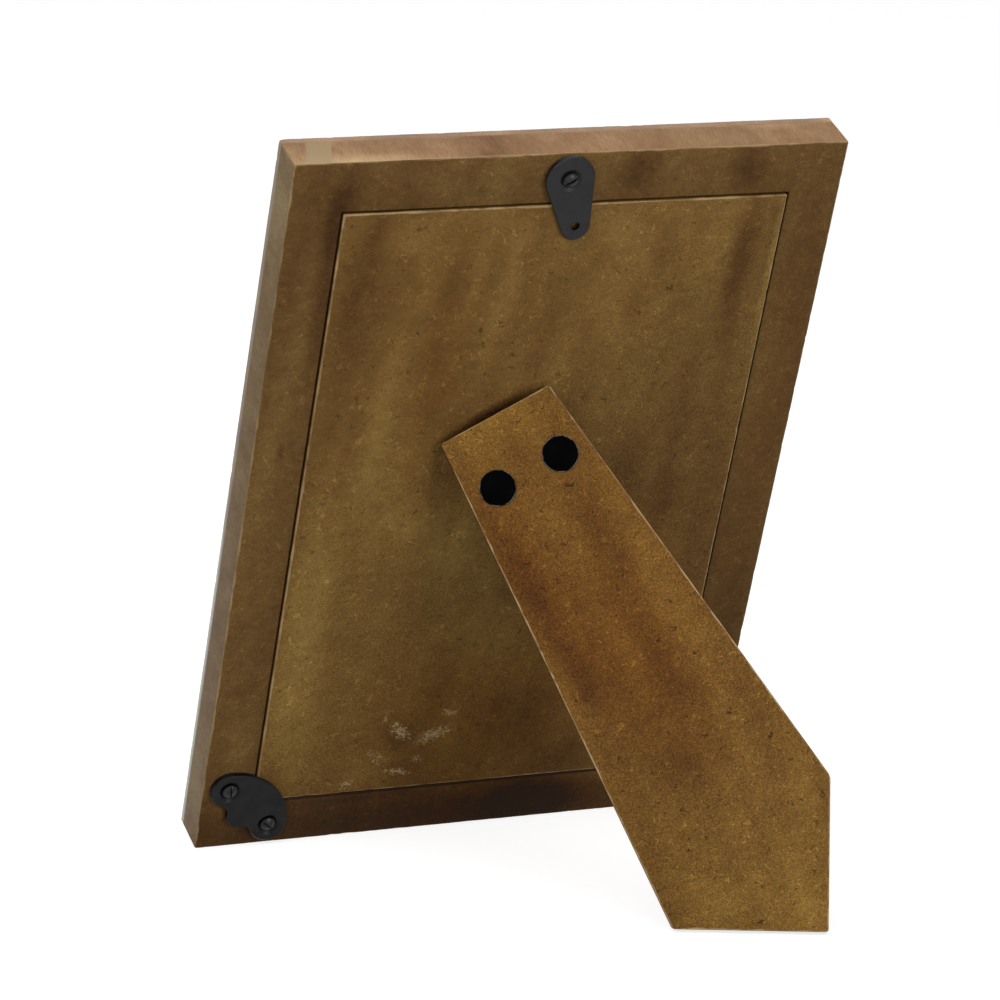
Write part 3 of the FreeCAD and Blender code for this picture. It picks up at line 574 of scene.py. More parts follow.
def black_paint(name, gloss):
    """Satin black paint with a powdery grain, thin scratches and painted shade round the screws."""
    fittings = bpy.context.scene.photo_frame_fittings
    finish = Finish(name, {"Specular IOR Level": gloss})
    point = finish.add("ShaderNodeTexCoord", output="Object")
    cloud = finish.noise(point, 4 * MM).smooth(0.3, 0.7)
    grain = finish.noise(point, 0.16 * MM, rough=0.6, seed=1)
    scratch = finish.strands(point, 2.6 * MM, width=0.008, cover=0.4, seed=2)
    tone = fittings.black_tone
    colour = finish.blend(cloud, shaded(tone, 0.5), shaded(tone, 1.5))
    colour = finish.blend(scratch * 0.3, colour, SCRATCHED)
    across, up, *_ = finish.place(BACK)
    # Painted shade: the paint darkens round each screw head.
    away = nearest(across, up, SCREWS, BACK)
    colour = finish.blend(away.inside(*SCREW_SHADE), colour, shaded(tone, 0.15))
    roughness = fittings.black_roughness + cloud.sway(0.2) + grain.sway(0.15)
    return finish.cover(colour, roughness, grain, 0.012 * MM)


def nearest(across, up, nodes, space):
    """Distance from the nearest middle of some nodes."""
    offsets = [(across - x, up - y) for x, y in (middle_of(node, space) for node in nodes)]
    return reduce(Wire.least, [(x * x + y * y).math("SQRT") for x, y in offsets])


def blacked_screws(name):
    """Slotted heads with paint rubbed off their edges, painted shade in their slots and a painted dark ring round
    the rim of each head.
    """
    fittings = bpy.context.scene.photo_frame_fittings
    finish = Finish(name, {"Specular IOR Level": 0.22})
    across, up, out, point = finish.place(BACK)
    grain = finish.noise(point, 0.2 * MM, rough=0.6)
    patch = finish.noise(point, 0.9 * MM, seed=1)
    away = nearest(across, up, SCREWS, BACK)
    colour = finish.blend(patch.smooth(0.35, 0.65), fittings.black_tone, WORN_SCREW)
    tops = [extent(screw, BACK)[1].z for screw in SCREWS]
    half_way = RING_HIGH.y / 2
    top = min(tops) + (max(tops) - min(tops)) * up.smooth(half_way, half_way + MM)
    # Painted shade in the slot: the head turns black below its top.
    sunk = (top - out).smooth(SLOT_SHADE_DEPTH, SLOT_SHADE_DEPTH * 1.6)
    colour = finish.blend(sunk, colour, SLOT_BLACK)
    # Painted shade: a dark ring round the rim of each head.
    colour = finish.blend(away.smooth(SCREW_HEAD, SCREW_HEAD + 0.25 * MM), colour, SCREW_RIM_SHADE)
    return finish.cover(colour, 0.34 + grain.sway(0.3), grain, 0.015 * MM)


def blacked_rivets(name):
    """Dull black heads with pale patches on their rims: painted highlight where the rounded rims catch light,
    broken up like rubbed paint.
    """
    finish = Finish(name, {"Specular IOR Level": 0.01})
    across, up, _, point = finish.place(LEG)
    away = nearest(across, up, LEG_RIVETS, LEG)
    low, high = extent(LEG_RIVETS[0], LEG)
    radius = (high.x - low.x) / 2
    grain = finish.noise(point, 0.2 * MM, rough=0.6)
    patch = finish.noise(point, 1.4 * MM, seed=1)
    start, end = [radius - inset for inset in RIVET_RIM_INSETS]
    # Painted highlight on the rivets' rims, in patches like rubbed paint.
    rim = (away + grain.sway(0.2 * MM)).smooth(start, end)
    colour = finish.blend(rim * patch.smooth(0.4, 0.65), RIVET_BLACK, RIVET_RIM_GLINT_AND_WEAR)
    return finish.cover(colour, 0.5 + grain.sway(0.2), grain, 0.01 * MM)


def plated_steel(name):
    """Plated sheet with rolling lines and dull blotches."""
    fittings = bpy.context.scene.photo_frame_fittings
    finish = Finish(name, {"Metallic": 1})
    across, up, out, point = finish.place(LEG)
    rolled = finish.noise(finish.join(across * 0.08, up, out), 0.12 * MM, rough=0.6)
    blotch = finish.noise(point, 2.2 * MM, detail=3, rough=0.6, bend=0.3, seed=1)
    tone = fittings.steel_tone
    colour = finish.blend(blotch.smooth(0.3, 0.7), shaded(tone, 0.72), shaded(tone, 1.08))
    roughness = 0.3 + rolled.sway(0.2) + blotch * 0.15
    return finish.cover(colour, roughness, rolled, 0.006 * MM)


def painted_facing(name, corners):
    """Pale satin paint with brush marks along each rail and rubbed edges."""
    boards = bpy.context.scene.photo_frame_boards
    front = bpy.context.scene.photo_frame_front
    finish = Finish(name, {"Specular IOR Level": 0.35})
    across, up, out, point = finish.place(BACK)
    rim = rim_of(corners, across, up)
    half = corners[1].x
    upright = ((half - abs(across)) - rim).smooth(MITRE_BLEND, -MITRE_BLEND)
    brush = {"size": BRUSH_WIDTH, "detail": 3, "rough": 0.6}
    along_up = finish.noise(finish.join(across, up * BRUSH_STRETCH, out), **brush)
    along_across = finish.noise(finish.join(across * BRUSH_STRETCH, up, out), **brush, seed=1)
    brushed = along_across + (along_up - along_across) * upright
    cloud = finish.noise(point, 9 * MM, detail=3, seed=2)
    tone = front.facing_tone
    share = 0.5 + brushed.sway(0.7) + cloud.sway(0.5)
    colour = finish.blend(share, shaded(tone, 0.82), shaded(tone, 1.14))

    depth = out - FACING_LOW.z
    worn = (rim.most(depth) + cloud.sway(1.2 * MM)).inside(0.05 * MM, 0.3 * MM)
    colour = finish.blend(worn * 0.4, colour, RUBBED_PAINT)
    grain = finish.noise(point, 0.36 * MM, detail=3, rough=0.7, seed=3)
    share = 0.5 + cloud.sway(0.5) + grain.sway(0.4)
    stain = finish.ramp(share, stops_of(boards.edge_tone))
    # The top of the facing's edge takes the lighter top tone: partly painted light from above.
    warm = finish.ramp(share, stops_of(boards.lit_warm_top_tone))
    stain = finish.blend(up.smooth(FACING_HIGH.y - MM, FACING_HIGH.y), stain, warm)
    side = (depth - rim - 0.1 * MM).smooth(0, 0.1 * MM)
    bare = (up + cloud.sway(30 * MM)).smooth(BARE_FROM, BARE_TO)
    painted = depth + bare * 2 * MM + cloud.sway(MM) + grain.sway(MM)
    colour = finish.blend(side * painted.smooth(*PAINT_DEPTH), colour, stain)
    return finish.cover(colour, 0.42 + brushed.sway(0.3), brushed, 0.05 * MM)


def blank_card(name):
    """Uncoated card with faint fibres."""
    front = bpy.context.scene.photo_frame_front
    finish = Finish(name, {"Specular IOR Level": 0.2})
    *_, point = finish.place(BACK)
    pulp = finish.noise(point, 0.5 * MM, detail=3, rough=0.6)
    cloud = finish.noise(point, 12 * MM, seed=1)
    fibre = finish.strands(point, 1.6 * MM, width=0.02, cover=0.4, seed=2)
    tone = front.card_tone
    colour = finish.blend(pulp * 0.5 + cloud * 0.5, shaded(tone, 0.93), shaded(tone, 1.05))
    colour = finish.blend(fibre * 0.25, colour, shaded(tone, 0.8))
    return finish.cover(colour, 0.8 + pulp.sway(0.1), pulp, 0.02 * MM)


def picture_glass(name):
    """Clear glass with faint smears, as a mirror that covers only as much as glass reflects."""
    front = bpy.context.scene.photo_frame_front
    finish = Finish(name, {"Metallic": 1})
    *_, point = finish.place(BACK)
    smear = finish.noise(point, 25 * MM, detail=1)
    roughness = smear.smooth(0.3, 0.8) * 0.015
    slant = finish.add("ShaderNodeLayerWeight", None, {"Blend": 0.5}, "Facing")
    mirrored = GLASS_REFLECTION + slant.math("POWER", 5) * (1 - GLASS_REFLECTION)
    finish.plug(finish.shader, "Alpha", mirrored)
    tone = front.glass_tone
    return finish.cover(finish.blend(smear, tone, shaded(tone, 0.98)), roughness)


def dress(material, *names):
    """Gives CAD nodes a material."""
    for name in names:
        for slot in NODES[name].material_slots:
            slot.material = material


# Worn boards
def rectangle(low, high):
    """Corners of an upright rectangle, against the clock."""
    return [Vector((low.x, low.y)), Vector((high.x, low.y)),
            Vector((high.x, high.y)), Vector((low.x, high.y))]


def straight_sides(node, space):
    """Corners where the long edges of a flat node would meet, against the clock."""
    flat = [point.to_2d() for point in points_of(node, space)]
    hull = [flat[index] for index in convex_hull_2d(flat)]
    sides = []
    for start, end in zip(hull, hull[1:] + hull[:1]):
        if (end - start).length < LONG_SIDE:
            continue
        if sides and (sides[-1][1] - sides[-1][0]).angle(end - start) < SAME_DIRECTION:
            sides[-1] = (sides[-1][0], end)
        else:
            sides.append((start, end))
    corners = []
    for before, after in zip(sides[-1:] + sides[:-1], sides):
        ends = [corner.to_3d() for corner in (*before, *after)]
        corners.append(intersect_line_line(*ends)[0].to_2d())
    return corners


LONG_SIDE = 5 * MM
SAME_DIRECTION = math.radians(2)


class Outline:
    """A closed outline with places along it, for sweeping a section round it."""

    def __init__(self, corners, step, turn):
        self.corners = corners
        self.turn = turn
        self.mitres = []
        for number, corner in enumerate(corners):
            first = inward_of(corners[number - 1], corner)
            second = inward_of(corner, corners[(number + 1) % len(corners)])
            middle = (first + second).normalized()
            self.mitres.append(middle / middle.dot(first))
        self.places = []
        passed = 0.0
        for number, corner in enumerate(corners):
            length = (corners[(number + 1) % len(corners)] - corner).length
            count = max(1, round((length - 2 * turn) / step))
            even = [turn + (length - 2 * turn) * part / count for part in range(count + 1)]
            runs = [0.0, turn * CORNER_SHARE, *even, length - turn * CORNER_SHARE]
            self.places += [
                (number, run / length, min(run, length - run), passed + run) for run in runs]
            passed += length
        self.length = passed

    def rounding(self, to_corner):
        """Inset of a place near a rounded corner."""
        if to_corner == 0:
            return self.turn * ROUND_SHARE
        if to_corner >= self.turn:
            return 0.0
        return self.turn - math.sqrt(self.turn ** 2 - (self.turn - to_corner) ** 2)

    def point(self, number, share, inset):
        """Place on the outline moved in by an inset."""
        other = (number + 1) % len(self.corners)
        start = self.corners[number] + self.mitres[number] * inset
        end = self.corners[other] + self.mitres[other] * inset
        return start.lerp(end, share)


CORNER_SHARE = 0.6
ROUND_SHARE = 1 - math.sqrt(0.5)


def chips_on(length, arrises, seed, named=()):
    """Small random chips and the named ones. A chip is its arris, place, half length and depth."""
    boards = bpy.context.scene.photo_frame_boards
    draw = random.Random(seed)
    chips = list(named)
    for arris in arrises:
        for _ in range(round(length / boards.chip_spacing)):
            half = draw.uniform(0.5, 1.3) * MM
            chips.append((arris, draw.uniform(0, length), half, draw.uniform(0.2, 0.8)))
    return chips


def wear_at(arris, distance, chips, seed):
    """Share of the usual arris width that is worn away at a place."""
    slow = noise.noise(Vector((distance / (7 * MM), arris * 5.3, seed)))
    quick = noise.noise(Vector((distance / (1.3 * MM), arris * 3.1, seed + 0.5)))
    share = LEAST_WEAR + max(0, 0.2 + 0.3 * slow + 0.2 * quick)
    for place in chips.get(arris, ()):
        away = abs(distance - place[0]) / place[1]
        if away < 1:
            share += place[2] * (1 - away * away)
    return share


def section_at(section, closed, widths):
    """Points of a board's section with its arrises rounded by the widths given."""
    points = []
    inwards = Vector((1, 0))
    for index, (inset, out, _) in enumerate(section):
        here = Vector((inset, out))
        width = widths[index]
        if not width:
            points.append(here)
            continue
        before = after = inwards
        if closed or index > 0:
            before = (Vector(section[index - 1][:2]) - here).normalized()
        if closed or index < len(section) - 1:
            after = (Vector(section[(index + 1) % len(section)][:2]) - here).normalized()
        middle = here + (before + after) * width * ROUND_SHARE
        points += [here + before * width, middle, here + after * width]
    return points


def worn_board(name, space, corners, section, closed, seed, named_chips=(), rounder=1.0):
    """Sweeps a section round an outline with worn arrises. An open section gets two flat caps.

    The radius of the outline's corners is the usual one times rounder.
    """
    boards = bpy.context.scene.photo_frame_boards
    outline = Outline(corners, boards.step, boards.corner * rounder)
    worn = [index for index, corner in enumerate(section) if corner[2]]
    chips = {}
    for arris, place, half, depth in chips_on(outline.length, worn, seed, named_chips):
        chips.setdefault(arris, []).append((place, half, depth))
    mesh = bmesh.new()
    rings = []
    for number, share, to_corner, distance in outline.places:
        widths = [width * wear_at(index, distance, chips, seed) if width else 0.0
                  for index, (_, _, width) in enumerate(section)]
        rounding = outline.rounding(to_corner)
        ring = []
        for inset, out in section_at(section, closed, widths):
            near_wall = inset < ROUNDED_WITHIN
            flat = outline.point(number, share, inset + rounding * near_wall)
            ring.append(mesh.verts.new(space @ Vector((flat.x, flat.y, out))))
        rings.append(ring)
    for ring, following in zip(rings, rings[1:] + rings[:1]):
        pairs = list(zip(ring, ring[1:] + ring[:1], following[1:] + following[:1], following))
        for corners_of_face in pairs if closed else pairs[:-1]:
            mesh.faces.new(corners_of_face)
    if not closed:
        mesh.faces.new([ring[0] for ring in rings])
        mesh.faces.new([ring[-1] for ring in rings])
    bmesh.ops.recalc_face_normals(mesh, faces=mesh.faces)
    return piece_from(mesh, name)


LEAST_WEAR = 0.76
ROUNDED_WITHIN = 3 * MM
SHARP_ANGLE = math.radians(32)


def piece_from(mesh, name):
    """Makes an object of a bmesh."""
    data = bpy.data.meshes.new(name)
    mesh.to_mesh(data)
    mesh.free()
    piece = bpy.data.objects.new(name, data)
    bpy.context.scene.collection.objects.link(piece)
    return piece


def smooth_but_sharp(piece):
    """Shades a piece smooth, but for edges that turn sharply."""
    piece.data.polygons.foreach_set("use_smooth", [True] * len(piece.data.polygons))
    piece.data.set_sharp_from_angle(angle=SHARP_ANGLE)


def lathe(mesh, space, middle, profile, sides=40):
    """Adds a closed turned form, whose profile lists its radius and height from bottom to top."""
    rings = []
    for radius, height in profile:
        ring = []
        for side in range(sides):
            turn = math.tau * side / sides
            x, y = middle[0] + radius * math.cos(turn), middle[1] + radius * math.sin(turn)
            ring.append(mesh.verts.new(space @ Vector((x, y, height))))
        rings.append(ring)
    for low, high in zip(rings, rings[1:]):
        for quad in zip(low, low[1:] + low[:1], high[1:] + high[:1], high):
            mesh.faces.new(quad)
    mesh.faces.new(rings[0])
    mesh.faces.new(rings[-1])


def bore(piece, space, holes):
    """Cuts turned holes in a piece. A hole is a middle and a profile."""
    mesh = bmesh.new()
    for middle, profile in holes:
        lathe(mesh, space, middle, profile)
    bmesh.ops.recalc_face_normals(mesh, faces=mesh.faces)
    cutter = piece_from(mesh, piece.name + "_cutter")
    cut = piece.modifiers.new("Holes", "BOOLEAN")
    cut.operation = "DIFFERENCE"
    cut.solver = "EXACT"
    cut.object = cutter
    made = bpy.data.meshes.new_from_object(piece.evaluated_get(bpy.context.evaluated_depsgraph_get()))
    piece.modifiers.clear()
    piece.data = made
    bpy.data.objects.remove(cutter)


def middle_of(node, space):
    """Middle of a node, across and up a board."""
    low, high = extent(node, space)
    return (low.x + high.x) / 2, (low.y + high.y) / 2


def stand_in(piece, node, body, material):
    """Puts a detailed piece in the place of a CAD node."""
    piece.data.materials.clear()
    piece.data.materials.append(material)
    smooth_but_sharp(piece)
    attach(piece, body)
    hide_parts(node)


SCREW_HOLE = 0.95 * MM
SCREW_HOLE_SPARE = 0.5 * MM
LEG_RIVET_HOLE = 1.83 * MM
PANEL_RIVET_HOLE = 1.53 * MM
PANEL_RIVET_HEAD = 3.03 * MM
PANEL_RIVET_SINK = 1.2 * MM
OVERRUN = 1 * MM
RAIL = 12.1 * MM
LIP = 5 * MM
FACING_OVERLAP = 0.6 * MM
FACING_BEVEL = 0.8 * MM
CARD_GAP = 0.04 * MM
GROUND_EDGE = 0.3 * MM
SCREWS = ("turn_button_screw", "plate_screw_left_side", "plate_screw_left_bottom",
          "plate_screw_right_side", "plate_screw_right_bottom")
PLATES = ("corner_plate_left", "corner_plate_right")
LEG_RIVETS = ("leg_rivet_left", "leg_rivet_right")
PANEL_RIVETS = ("panel_rivet_left", "panel_rivet_right")
HINGE = ("hinge_leg_leaf", "hinge_panel_leaf", "hinge_pin")

# Darker and paler places, as soft ovals: the middle, half the width and half the height in mm, the
# strength, and the lean in degrees where there is one. The bands run over ring and back alike.
BANDS = [
    (-47, 147, 6, 27, -0.15, -8), (-24, 128, 6, 38, -0.15, -4), (1, 138, 6, 26, -0.13, -8),
    (25, 151, 5, 12, -0.09), (43.5, 150, 5, 28, -0.17, -3), (-36, 116, 7, 62, 0.08),
    (-12, 140, 6, 28, 0.12, -8), (13, 146, 7, 26, 0.1, -4),
]
RING_SPOTS = BANDS + [
    (-10, 4, 110, 14, -0.42), (17, 4, 22, 13, -0.46), (-16, 5, 12, 10, 0.07), (-58, 70, 9, 90, 0.07),
    (-58, 30, 7, 16, 0.08), (-58, 60, 7, 13, -0.04), (40.5, 173, 7, 10, -0.27),
    (11.5, 172, 5, 8, -0.07), (-32, 173, 7, 8, 0.1), (58, 145, 8, 34, -0.09), (-53.2, 164, 5, 12, -0.2),
    (-32, 10.5, 28, 3, -0.14), (15.5, 174, 6, 8, -0.16), (60, 48, 8, 46, -0.14),
    (-57.5, 106.9, 1.6, 4, -0.16, 10), (-53.0, 148, 4, 32, -0.2), (-50.5, 172, 6, 11, -0.22, -5),
]
PANEL_SPOTS = BANDS + [
    (-20, 160, 9, 9, -0.05), (-26, 18, 10, 12, 0.08), (10, 32, 14, 14, -0.1), (-38, 136, 18, 40, -0.06),
    (-46, 54, 11, 66, 0.24), (-14, 80, 14, 22, 0.19), (-28, 86, 9, 10, 0.07),
    # The lean oval at (-9.2, 114.3) is a painted shadow of the leg's top end on the back, and the one at (25, 98)
    # is painted shade beside the leg's upper right edge.
    (-9.2, 114.3, 15, 2.8, -0.42, 32), (25, 98, 8, 16, -0.12, 12), (46, 92, 7, 52, -0.09),
    (36, 100, 24, 70, -0.06), (36, 114, 6, 44, -0.09), (-4, 54, 15, 20, 0.12), (12, 24, 26, 22, -0.06),
    # The small oval at (2.5, 160.1) is painted shade: it blackens the back under the turn button's eye hole.
    (24, 16, 14, 11, -0.16), (50.8, 150, 1.6, 34, 0.16), (2.5, 160.1, 1.9, 1.9, -1.0),
    (-36, 160, 10, 9, 0.14), (12, 160, 9, 9, 0.13), (-12, 160, 7, 8, 0.07), (36, 88, 10, 14, -0.12),
    (36, 28, 10, 12, -0.09), (-24, 88, 9, 10, 0.06), (-48, 40, 5, 12, 0.07), (-48, 16, 6, 10, -0.1),
    (-18.3, 27, 6, 7, -0.11), (-9, 27, 5, 5, 0.06), (-18, 18, 6, 5, -0.07), (-23, 148, 6, 10, -0.09),
    (19.5, 141, 4, 9, -0.11), (43, 140, 5, 34, -0.07), (-43, 162, 4, 8, -0.09), (-19, 27, 5, 10, -0.07),
    (-7, 28, 6, 14, 0.09), (-4, 69, 6, 8, 0.08),
]
LEG_SPOTS = [
    (0, 5, 16, 13, 0.15), (-11, -57, 5, 11, -0.13), (-11, -42, 4, 7, 0.09), (0, -82, 15, 9, -0.11),
    (-1, -113, 18, 8, 0.07), (11, -102, 5, 7, -0.1), (-12.5, -33, 6, 34, -0.25), (-2, -20, 5, 16, 0.09),
    (7, -31, 6, 22, -0.14, 8), (2, -42, 5, 13, -0.11), (6, -64, 8, 26, -0.2),
    (-4, -74, 10, 34, -0.09, 4), (-10, -112, 7, 10, 0.1), (13, -106, 9, 24, 0.14, -20),
    (8, -124, 14, 12, 0.17),
]
# Places where the colour is made redder. The strength is a share of the warm tint
RING_WARM = [(5, 4, 52, 16, 1.0), (60, 100, 10, 90, 0.3)]
PANEL_WARM = [(0, 26, 50, 46, 0.9), (-24, 126, 8, 44, 0.4), (36, 60, 16, 40, 0.5)]
LEG_WARM = [(0, -30, 70, 85, 0.6), (-11, -34, 9, 44, 0.8), (1, -58, 18, 38, 0.75)]
# Places of the ring's sawn edges
EDGE_SPOTS = [
    (-63.9, 166, 4, 15, 0.12), (-18, 178.6, 12, 4, -0.14), (20, 178.6, 10, 4, -0.06),
    (-63.9, 12, 4, 40, 0.06),
]
# Places of the top edge, across and out of the ring
TOP_SPOTS = [(-50, 0.5, 27, 6, 0.24), (50, -9.5, 12, 4.5, 0.17)]
NICK_BELOW_TOP = 1.1 * MM
NICK_HALF = 0.8 * MM
NICK_DEPTH = 1.6
# Torn places of the loose back
SCUFFS = [
    (-18.3, 28.6, 4.8, 2.4, 1.0, -42), (-10.0, 26.8, 6.0, 2.6, 1.0, 18),
    (-6.8, 32.8, 2.8, 1.3, 0.7, -20), (-17.4, 17.2, 4.4, 1.5, 0.85, -10),
    (-29.7, 14.8, 3.2, 1.7, 0.8, 10), (-22.8, 21.2, 5.4, 2.0, 0.42, -45),
    (-13.0, 20.4, 2.6, 1.4, 0.7, -20), (-22.4, 32.6, 1.2, 3.2, 0.3, -20),
]


# Operators, one for each piece or group of like pieces
class PHOTO_FRAME_OT_ring(bpy.types.Operator):
    """Makes the worn fibreboard ring in place of the plain one"""

    bl_idname = "photo_frame.ring"
    bl_label = "Ring"

    def execute(self, context):
        boards = context.scene.photo_frame_boards
        corners = rectangle(RING_LOW, RING_HIGH)
        front = RING_LOW.z
        ledge = GLASS_LOW.z
        arris = boards.arris
        sight = RAIL + LIP
        section = [
            (0, 0, arris * 1.2), (0, front, arris * 0.3), (sight, front, 0),
            (sight, ledge, arris * 0.5), (RAIL, ledge, 0), (RAIL, 0, arris * 0.8)]
        size = RING_HIGH - RING_LOW
        nick = (0, 2 * size.x + size.y + NICK_BELOW_TOP, NICK_HALF, NICK_DEPTH)
        piece = worn_board("ring", BACK, corners, section, True, boards.seed, [nick])
        holes = []
        for screw in SCREWS:
            point_end = extent(screw, BACK)[0].z
            holes.append((middle_of(screw, BACK), [
                (SCREW_HOLE, point_end - SCREW_HOLE_SPARE), (SCREW_HOLE, OVERRUN)]))
        bore(piece, BACK, holes)
        look = {"seed": 20, "grain": 0.6, "even": 0.8, "tufts": 0.26, "fibres": 0.5, "strokes": 0.32,
                "specks": 0.35, "worn": 0.42 * MM, "bare": 0.04, "spots": RING_SPOTS,
                "warm": RING_WARM, "scuffs": (), "rebate": RAIL, "top": RING_HIGH.y}
        material = fibreboard("ring_board", BACK, corners, 0.0, -front, boards.ring_tone, look)
        stand_in(piece, "frame_ring", "frame", material)
        return {"FINISHED"}


class PHOTO_FRAME_OT_facing(bpy.types.Operator):
    """Makes the pale facing on the front"""

    bl_idname = "photo_frame.facing"
    bl_label = "Facing"

    def execute(self, context):
        boards = context.scene.photo_frame_boards
        arris = boards.arris
        corners = rectangle(FACING_LOW, FACING_HIGH)
        back, front = FACING_HIGH.z, FACING_LOW.z
        inner = RAIL + LIP + FACING_OVERLAP
        section = [
            (0, back, 0), (0, front, arris * 1.25), (inner - FACING_BEVEL, front, arris * 0.2),
            (inner, front + FACING_BEVEL, arris * 0.2), (inner, back, 0)]
        piece = worn_board("facing", BACK, corners, section, True, boards.seed + 1)
        stand_in(piece, "front_facing", "frame", painted_facing("facing_paint", corners))
        return {"FINISHED"}


class PHOTO_FRAME_OT_glass_and_card(bpy.types.Operator):
    """Makes the glass with its ground edges, and finishes the blank card behind it"""

    bl_idname = "photo_frame.glass_and_card"
    bl_label = "Glass and Card"

    def execute(self, context):
        corners = rectangle(GLASS_LOW, GLASS_HIGH)
        section = [(0, GLASS_HIGH.z - CARD_GAP, GROUND_EDGE), (0, GLASS_LOW.z, GROUND_EDGE)]
        piece = worn_board("glass", BACK, corners, section, False, 0)
        stand_in(piece, "glass_pane", "frame", picture_glass("picture_glass"))
        dress(blank_card("blank_card"), "picture_sheet")
        return {"FINISHED"}


class PHOTO_FRAME_OT_loose_back(bpy.types.Operator):
    """Makes the worn loose back in place of the plain one"""

    bl_idname = "photo_frame.loose_back"
    bl_label = "Loose Back"

    def execute(self, context):
        boards = context.scene.photo_frame_boards
        corners = rectangle(PANEL_LOW, PANEL_HIGH)
        back, front = PANEL_HIGH.z, PANEL_LOW.z
        section = [(0, back, boards.arris), (0, front, boards.arris * 0.5)]
        piece = worn_board("loose_back", BACK, corners, section, False, boards.seed + 2)
        profile = [
            (PANEL_RIVET_HEAD, front - OVERRUN), (PANEL_RIVET_HEAD, front),
            (PANEL_RIVET_HOLE, front + PANEL_RIVET_SINK), (PANEL_RIVET_HOLE, back + OVERRUN)]
        bore(piece, BACK, [(middle_of(rivet, BACK), profile) for rivet in PANEL_RIVETS])
        look = {"seed": 40, "grain": 0.7, "even": 0.6, "tufts": 0.18, "fibres": 0.56, "strokes": 0.6,
                "specks": 0.5, "worn": 0.46 * MM, "bare": 0.36, "spots": PANEL_SPOTS,
                "warm": PANEL_WARM, "scuffs": SCUFFS}
        material = fibreboard("back_board", BACK, corners, back, back - front, boards.panel_tone, look)
        stand_in(piece, "backing_panel", "frame", material)
        return {"FINISHED"}


class PHOTO_FRAME_OT_leg(bpy.types.Operator):
    """Makes the worn leg in place of the plain one"""

    bl_idname = "photo_frame.leg"
    bl_label = "Leg"

    def execute(self, context):
        boards = context.scene.photo_frame_boards
        corners = straight_sides("easel_leg", LEG)
        outer, inner = LEG_HIGH.z, LEG_LOW.z
        section = [(0, outer, boards.arris), (0, inner, boards.arris * 0.5)]
        piece = worn_board("leg", LEG, corners, section, False, boards.seed + 3, rounder=1.8)
        profile = [(LEG_RIVET_HOLE, inner - OVERRUN), (LEG_RIVET_HOLE, outer + OVERRUN)]
        bore(piece, LEG, [(middle_of(rivet, LEG), profile) for rivet in LEG_RIVETS])
        look = {"seed": 60, "grain": 1.2, "even": 1.0, "tufts": 0.14, "fibres": 0.7, "strokes": 0.85,
                "specks": 0.7, "worn": 0.36 * MM, "bare": 0.36, "spots": LEG_SPOTS,
                "warm": LEG_WARM, "scuffs": ()}
        material = fibreboard("leg_board", LEG, corners, outer, outer - inner, boards.leg_tone, look)
        stand_in(piece, "easel_leg", "leg", material)
        return {"FINISHED"}


class PHOTO_FRAME_OT_black_fittings(bpy.types.Operator):
    """Finishes the turn button, the corner plates, their screws and the leg's rivets"""

    bl_idname = "photo_frame.black_fittings"
    bl_label = "Black Fittings"

    def execute(self, context):
        dress(black_paint("button_paint", 0.25), "turn_button")
        dress(black_paint("plate_paint", 0.14), *PLATES)
        dress(blacked_screws("blacked_screws"), *SCREWS)
        dress(blacked_rivets("blacked_rivets"), *LEG_RIVETS)
        return {"FINISHED"}


class PHOTO_FRAME_OT_hinge(bpy.types.Operator):
    """Finishes the hinge and the rivets that hold it to the loose back"""

    bl_idname = "photo_frame.hinge"
    bl_label = "Hinge"

    def execute(self, context):
        dress(plated_steel("plated_steel"), *HINGE, *PANEL_RIVETS)
        return {"FINISHED"}


# Stage
def away_from(azimuth, elevation):
    """Direction from the frame to a place round it. Azimuth 0 is in front, 90 to the right."""
    turn, rise = math.radians(azimuth), math.radians(elevation)
    return Vector((math.sin(turn) * math.cos(rise), -math.cos(turn) * math.cos(rise), math.sin(rise)))


def add_lamp(name, azimuth, elevation, distance, width, level):
    """Adds a soft square lamp that gives a surface facing it a level of light."""
    data = bpy.data.lights.new(name, "AREA")
    data.shape = "SQUARE"
    data.size = width
    data.energy = level * (math.pi * distance) ** 2
    lamp = bpy.data.objects.new(name, data)
    way = away_from(azimuth, elevation)
    lamp.location = LAMP_TARGET + way * distance
    lamp.rotation_mode = "QUATERNION"
    lamp.rotation_quaternion = (-way).to_track_quat("-Z", "Y")
    bpy.context.scene.collection.objects.link(lamp)


# Each lamp's azimuth and elevation in degrees, and its distance and width in metres
LAMPS = (
    ("key_lamp", 125, 36, 1.3, 0.7),
    ("fill_lamp", 200, 9, 1.5, 0.5),
    ("top_lamp", 160, 82, 1.2, 0.8),
)
LAMP_TARGET = Vector((0, 0, 0.085))
FLOOR_HALF = 12.0
CLIP_START = 0.01
WHITE = (1, 1, 1)


def seen_directly(finish):
    """1 where the camera, a reflection or glass shows a surface, and 0 where it only gives light."""
    path = finish.add("ShaderNodeLightPath", output="Is Camera Ray")
    node = path.socket.node
    glossy = Wire(finish, node.outputs["Is Glossy Ray"])
    through = Wire(finish, node.outputs["Is Transmission Ray"])
    return path.most(glossy).most(through)


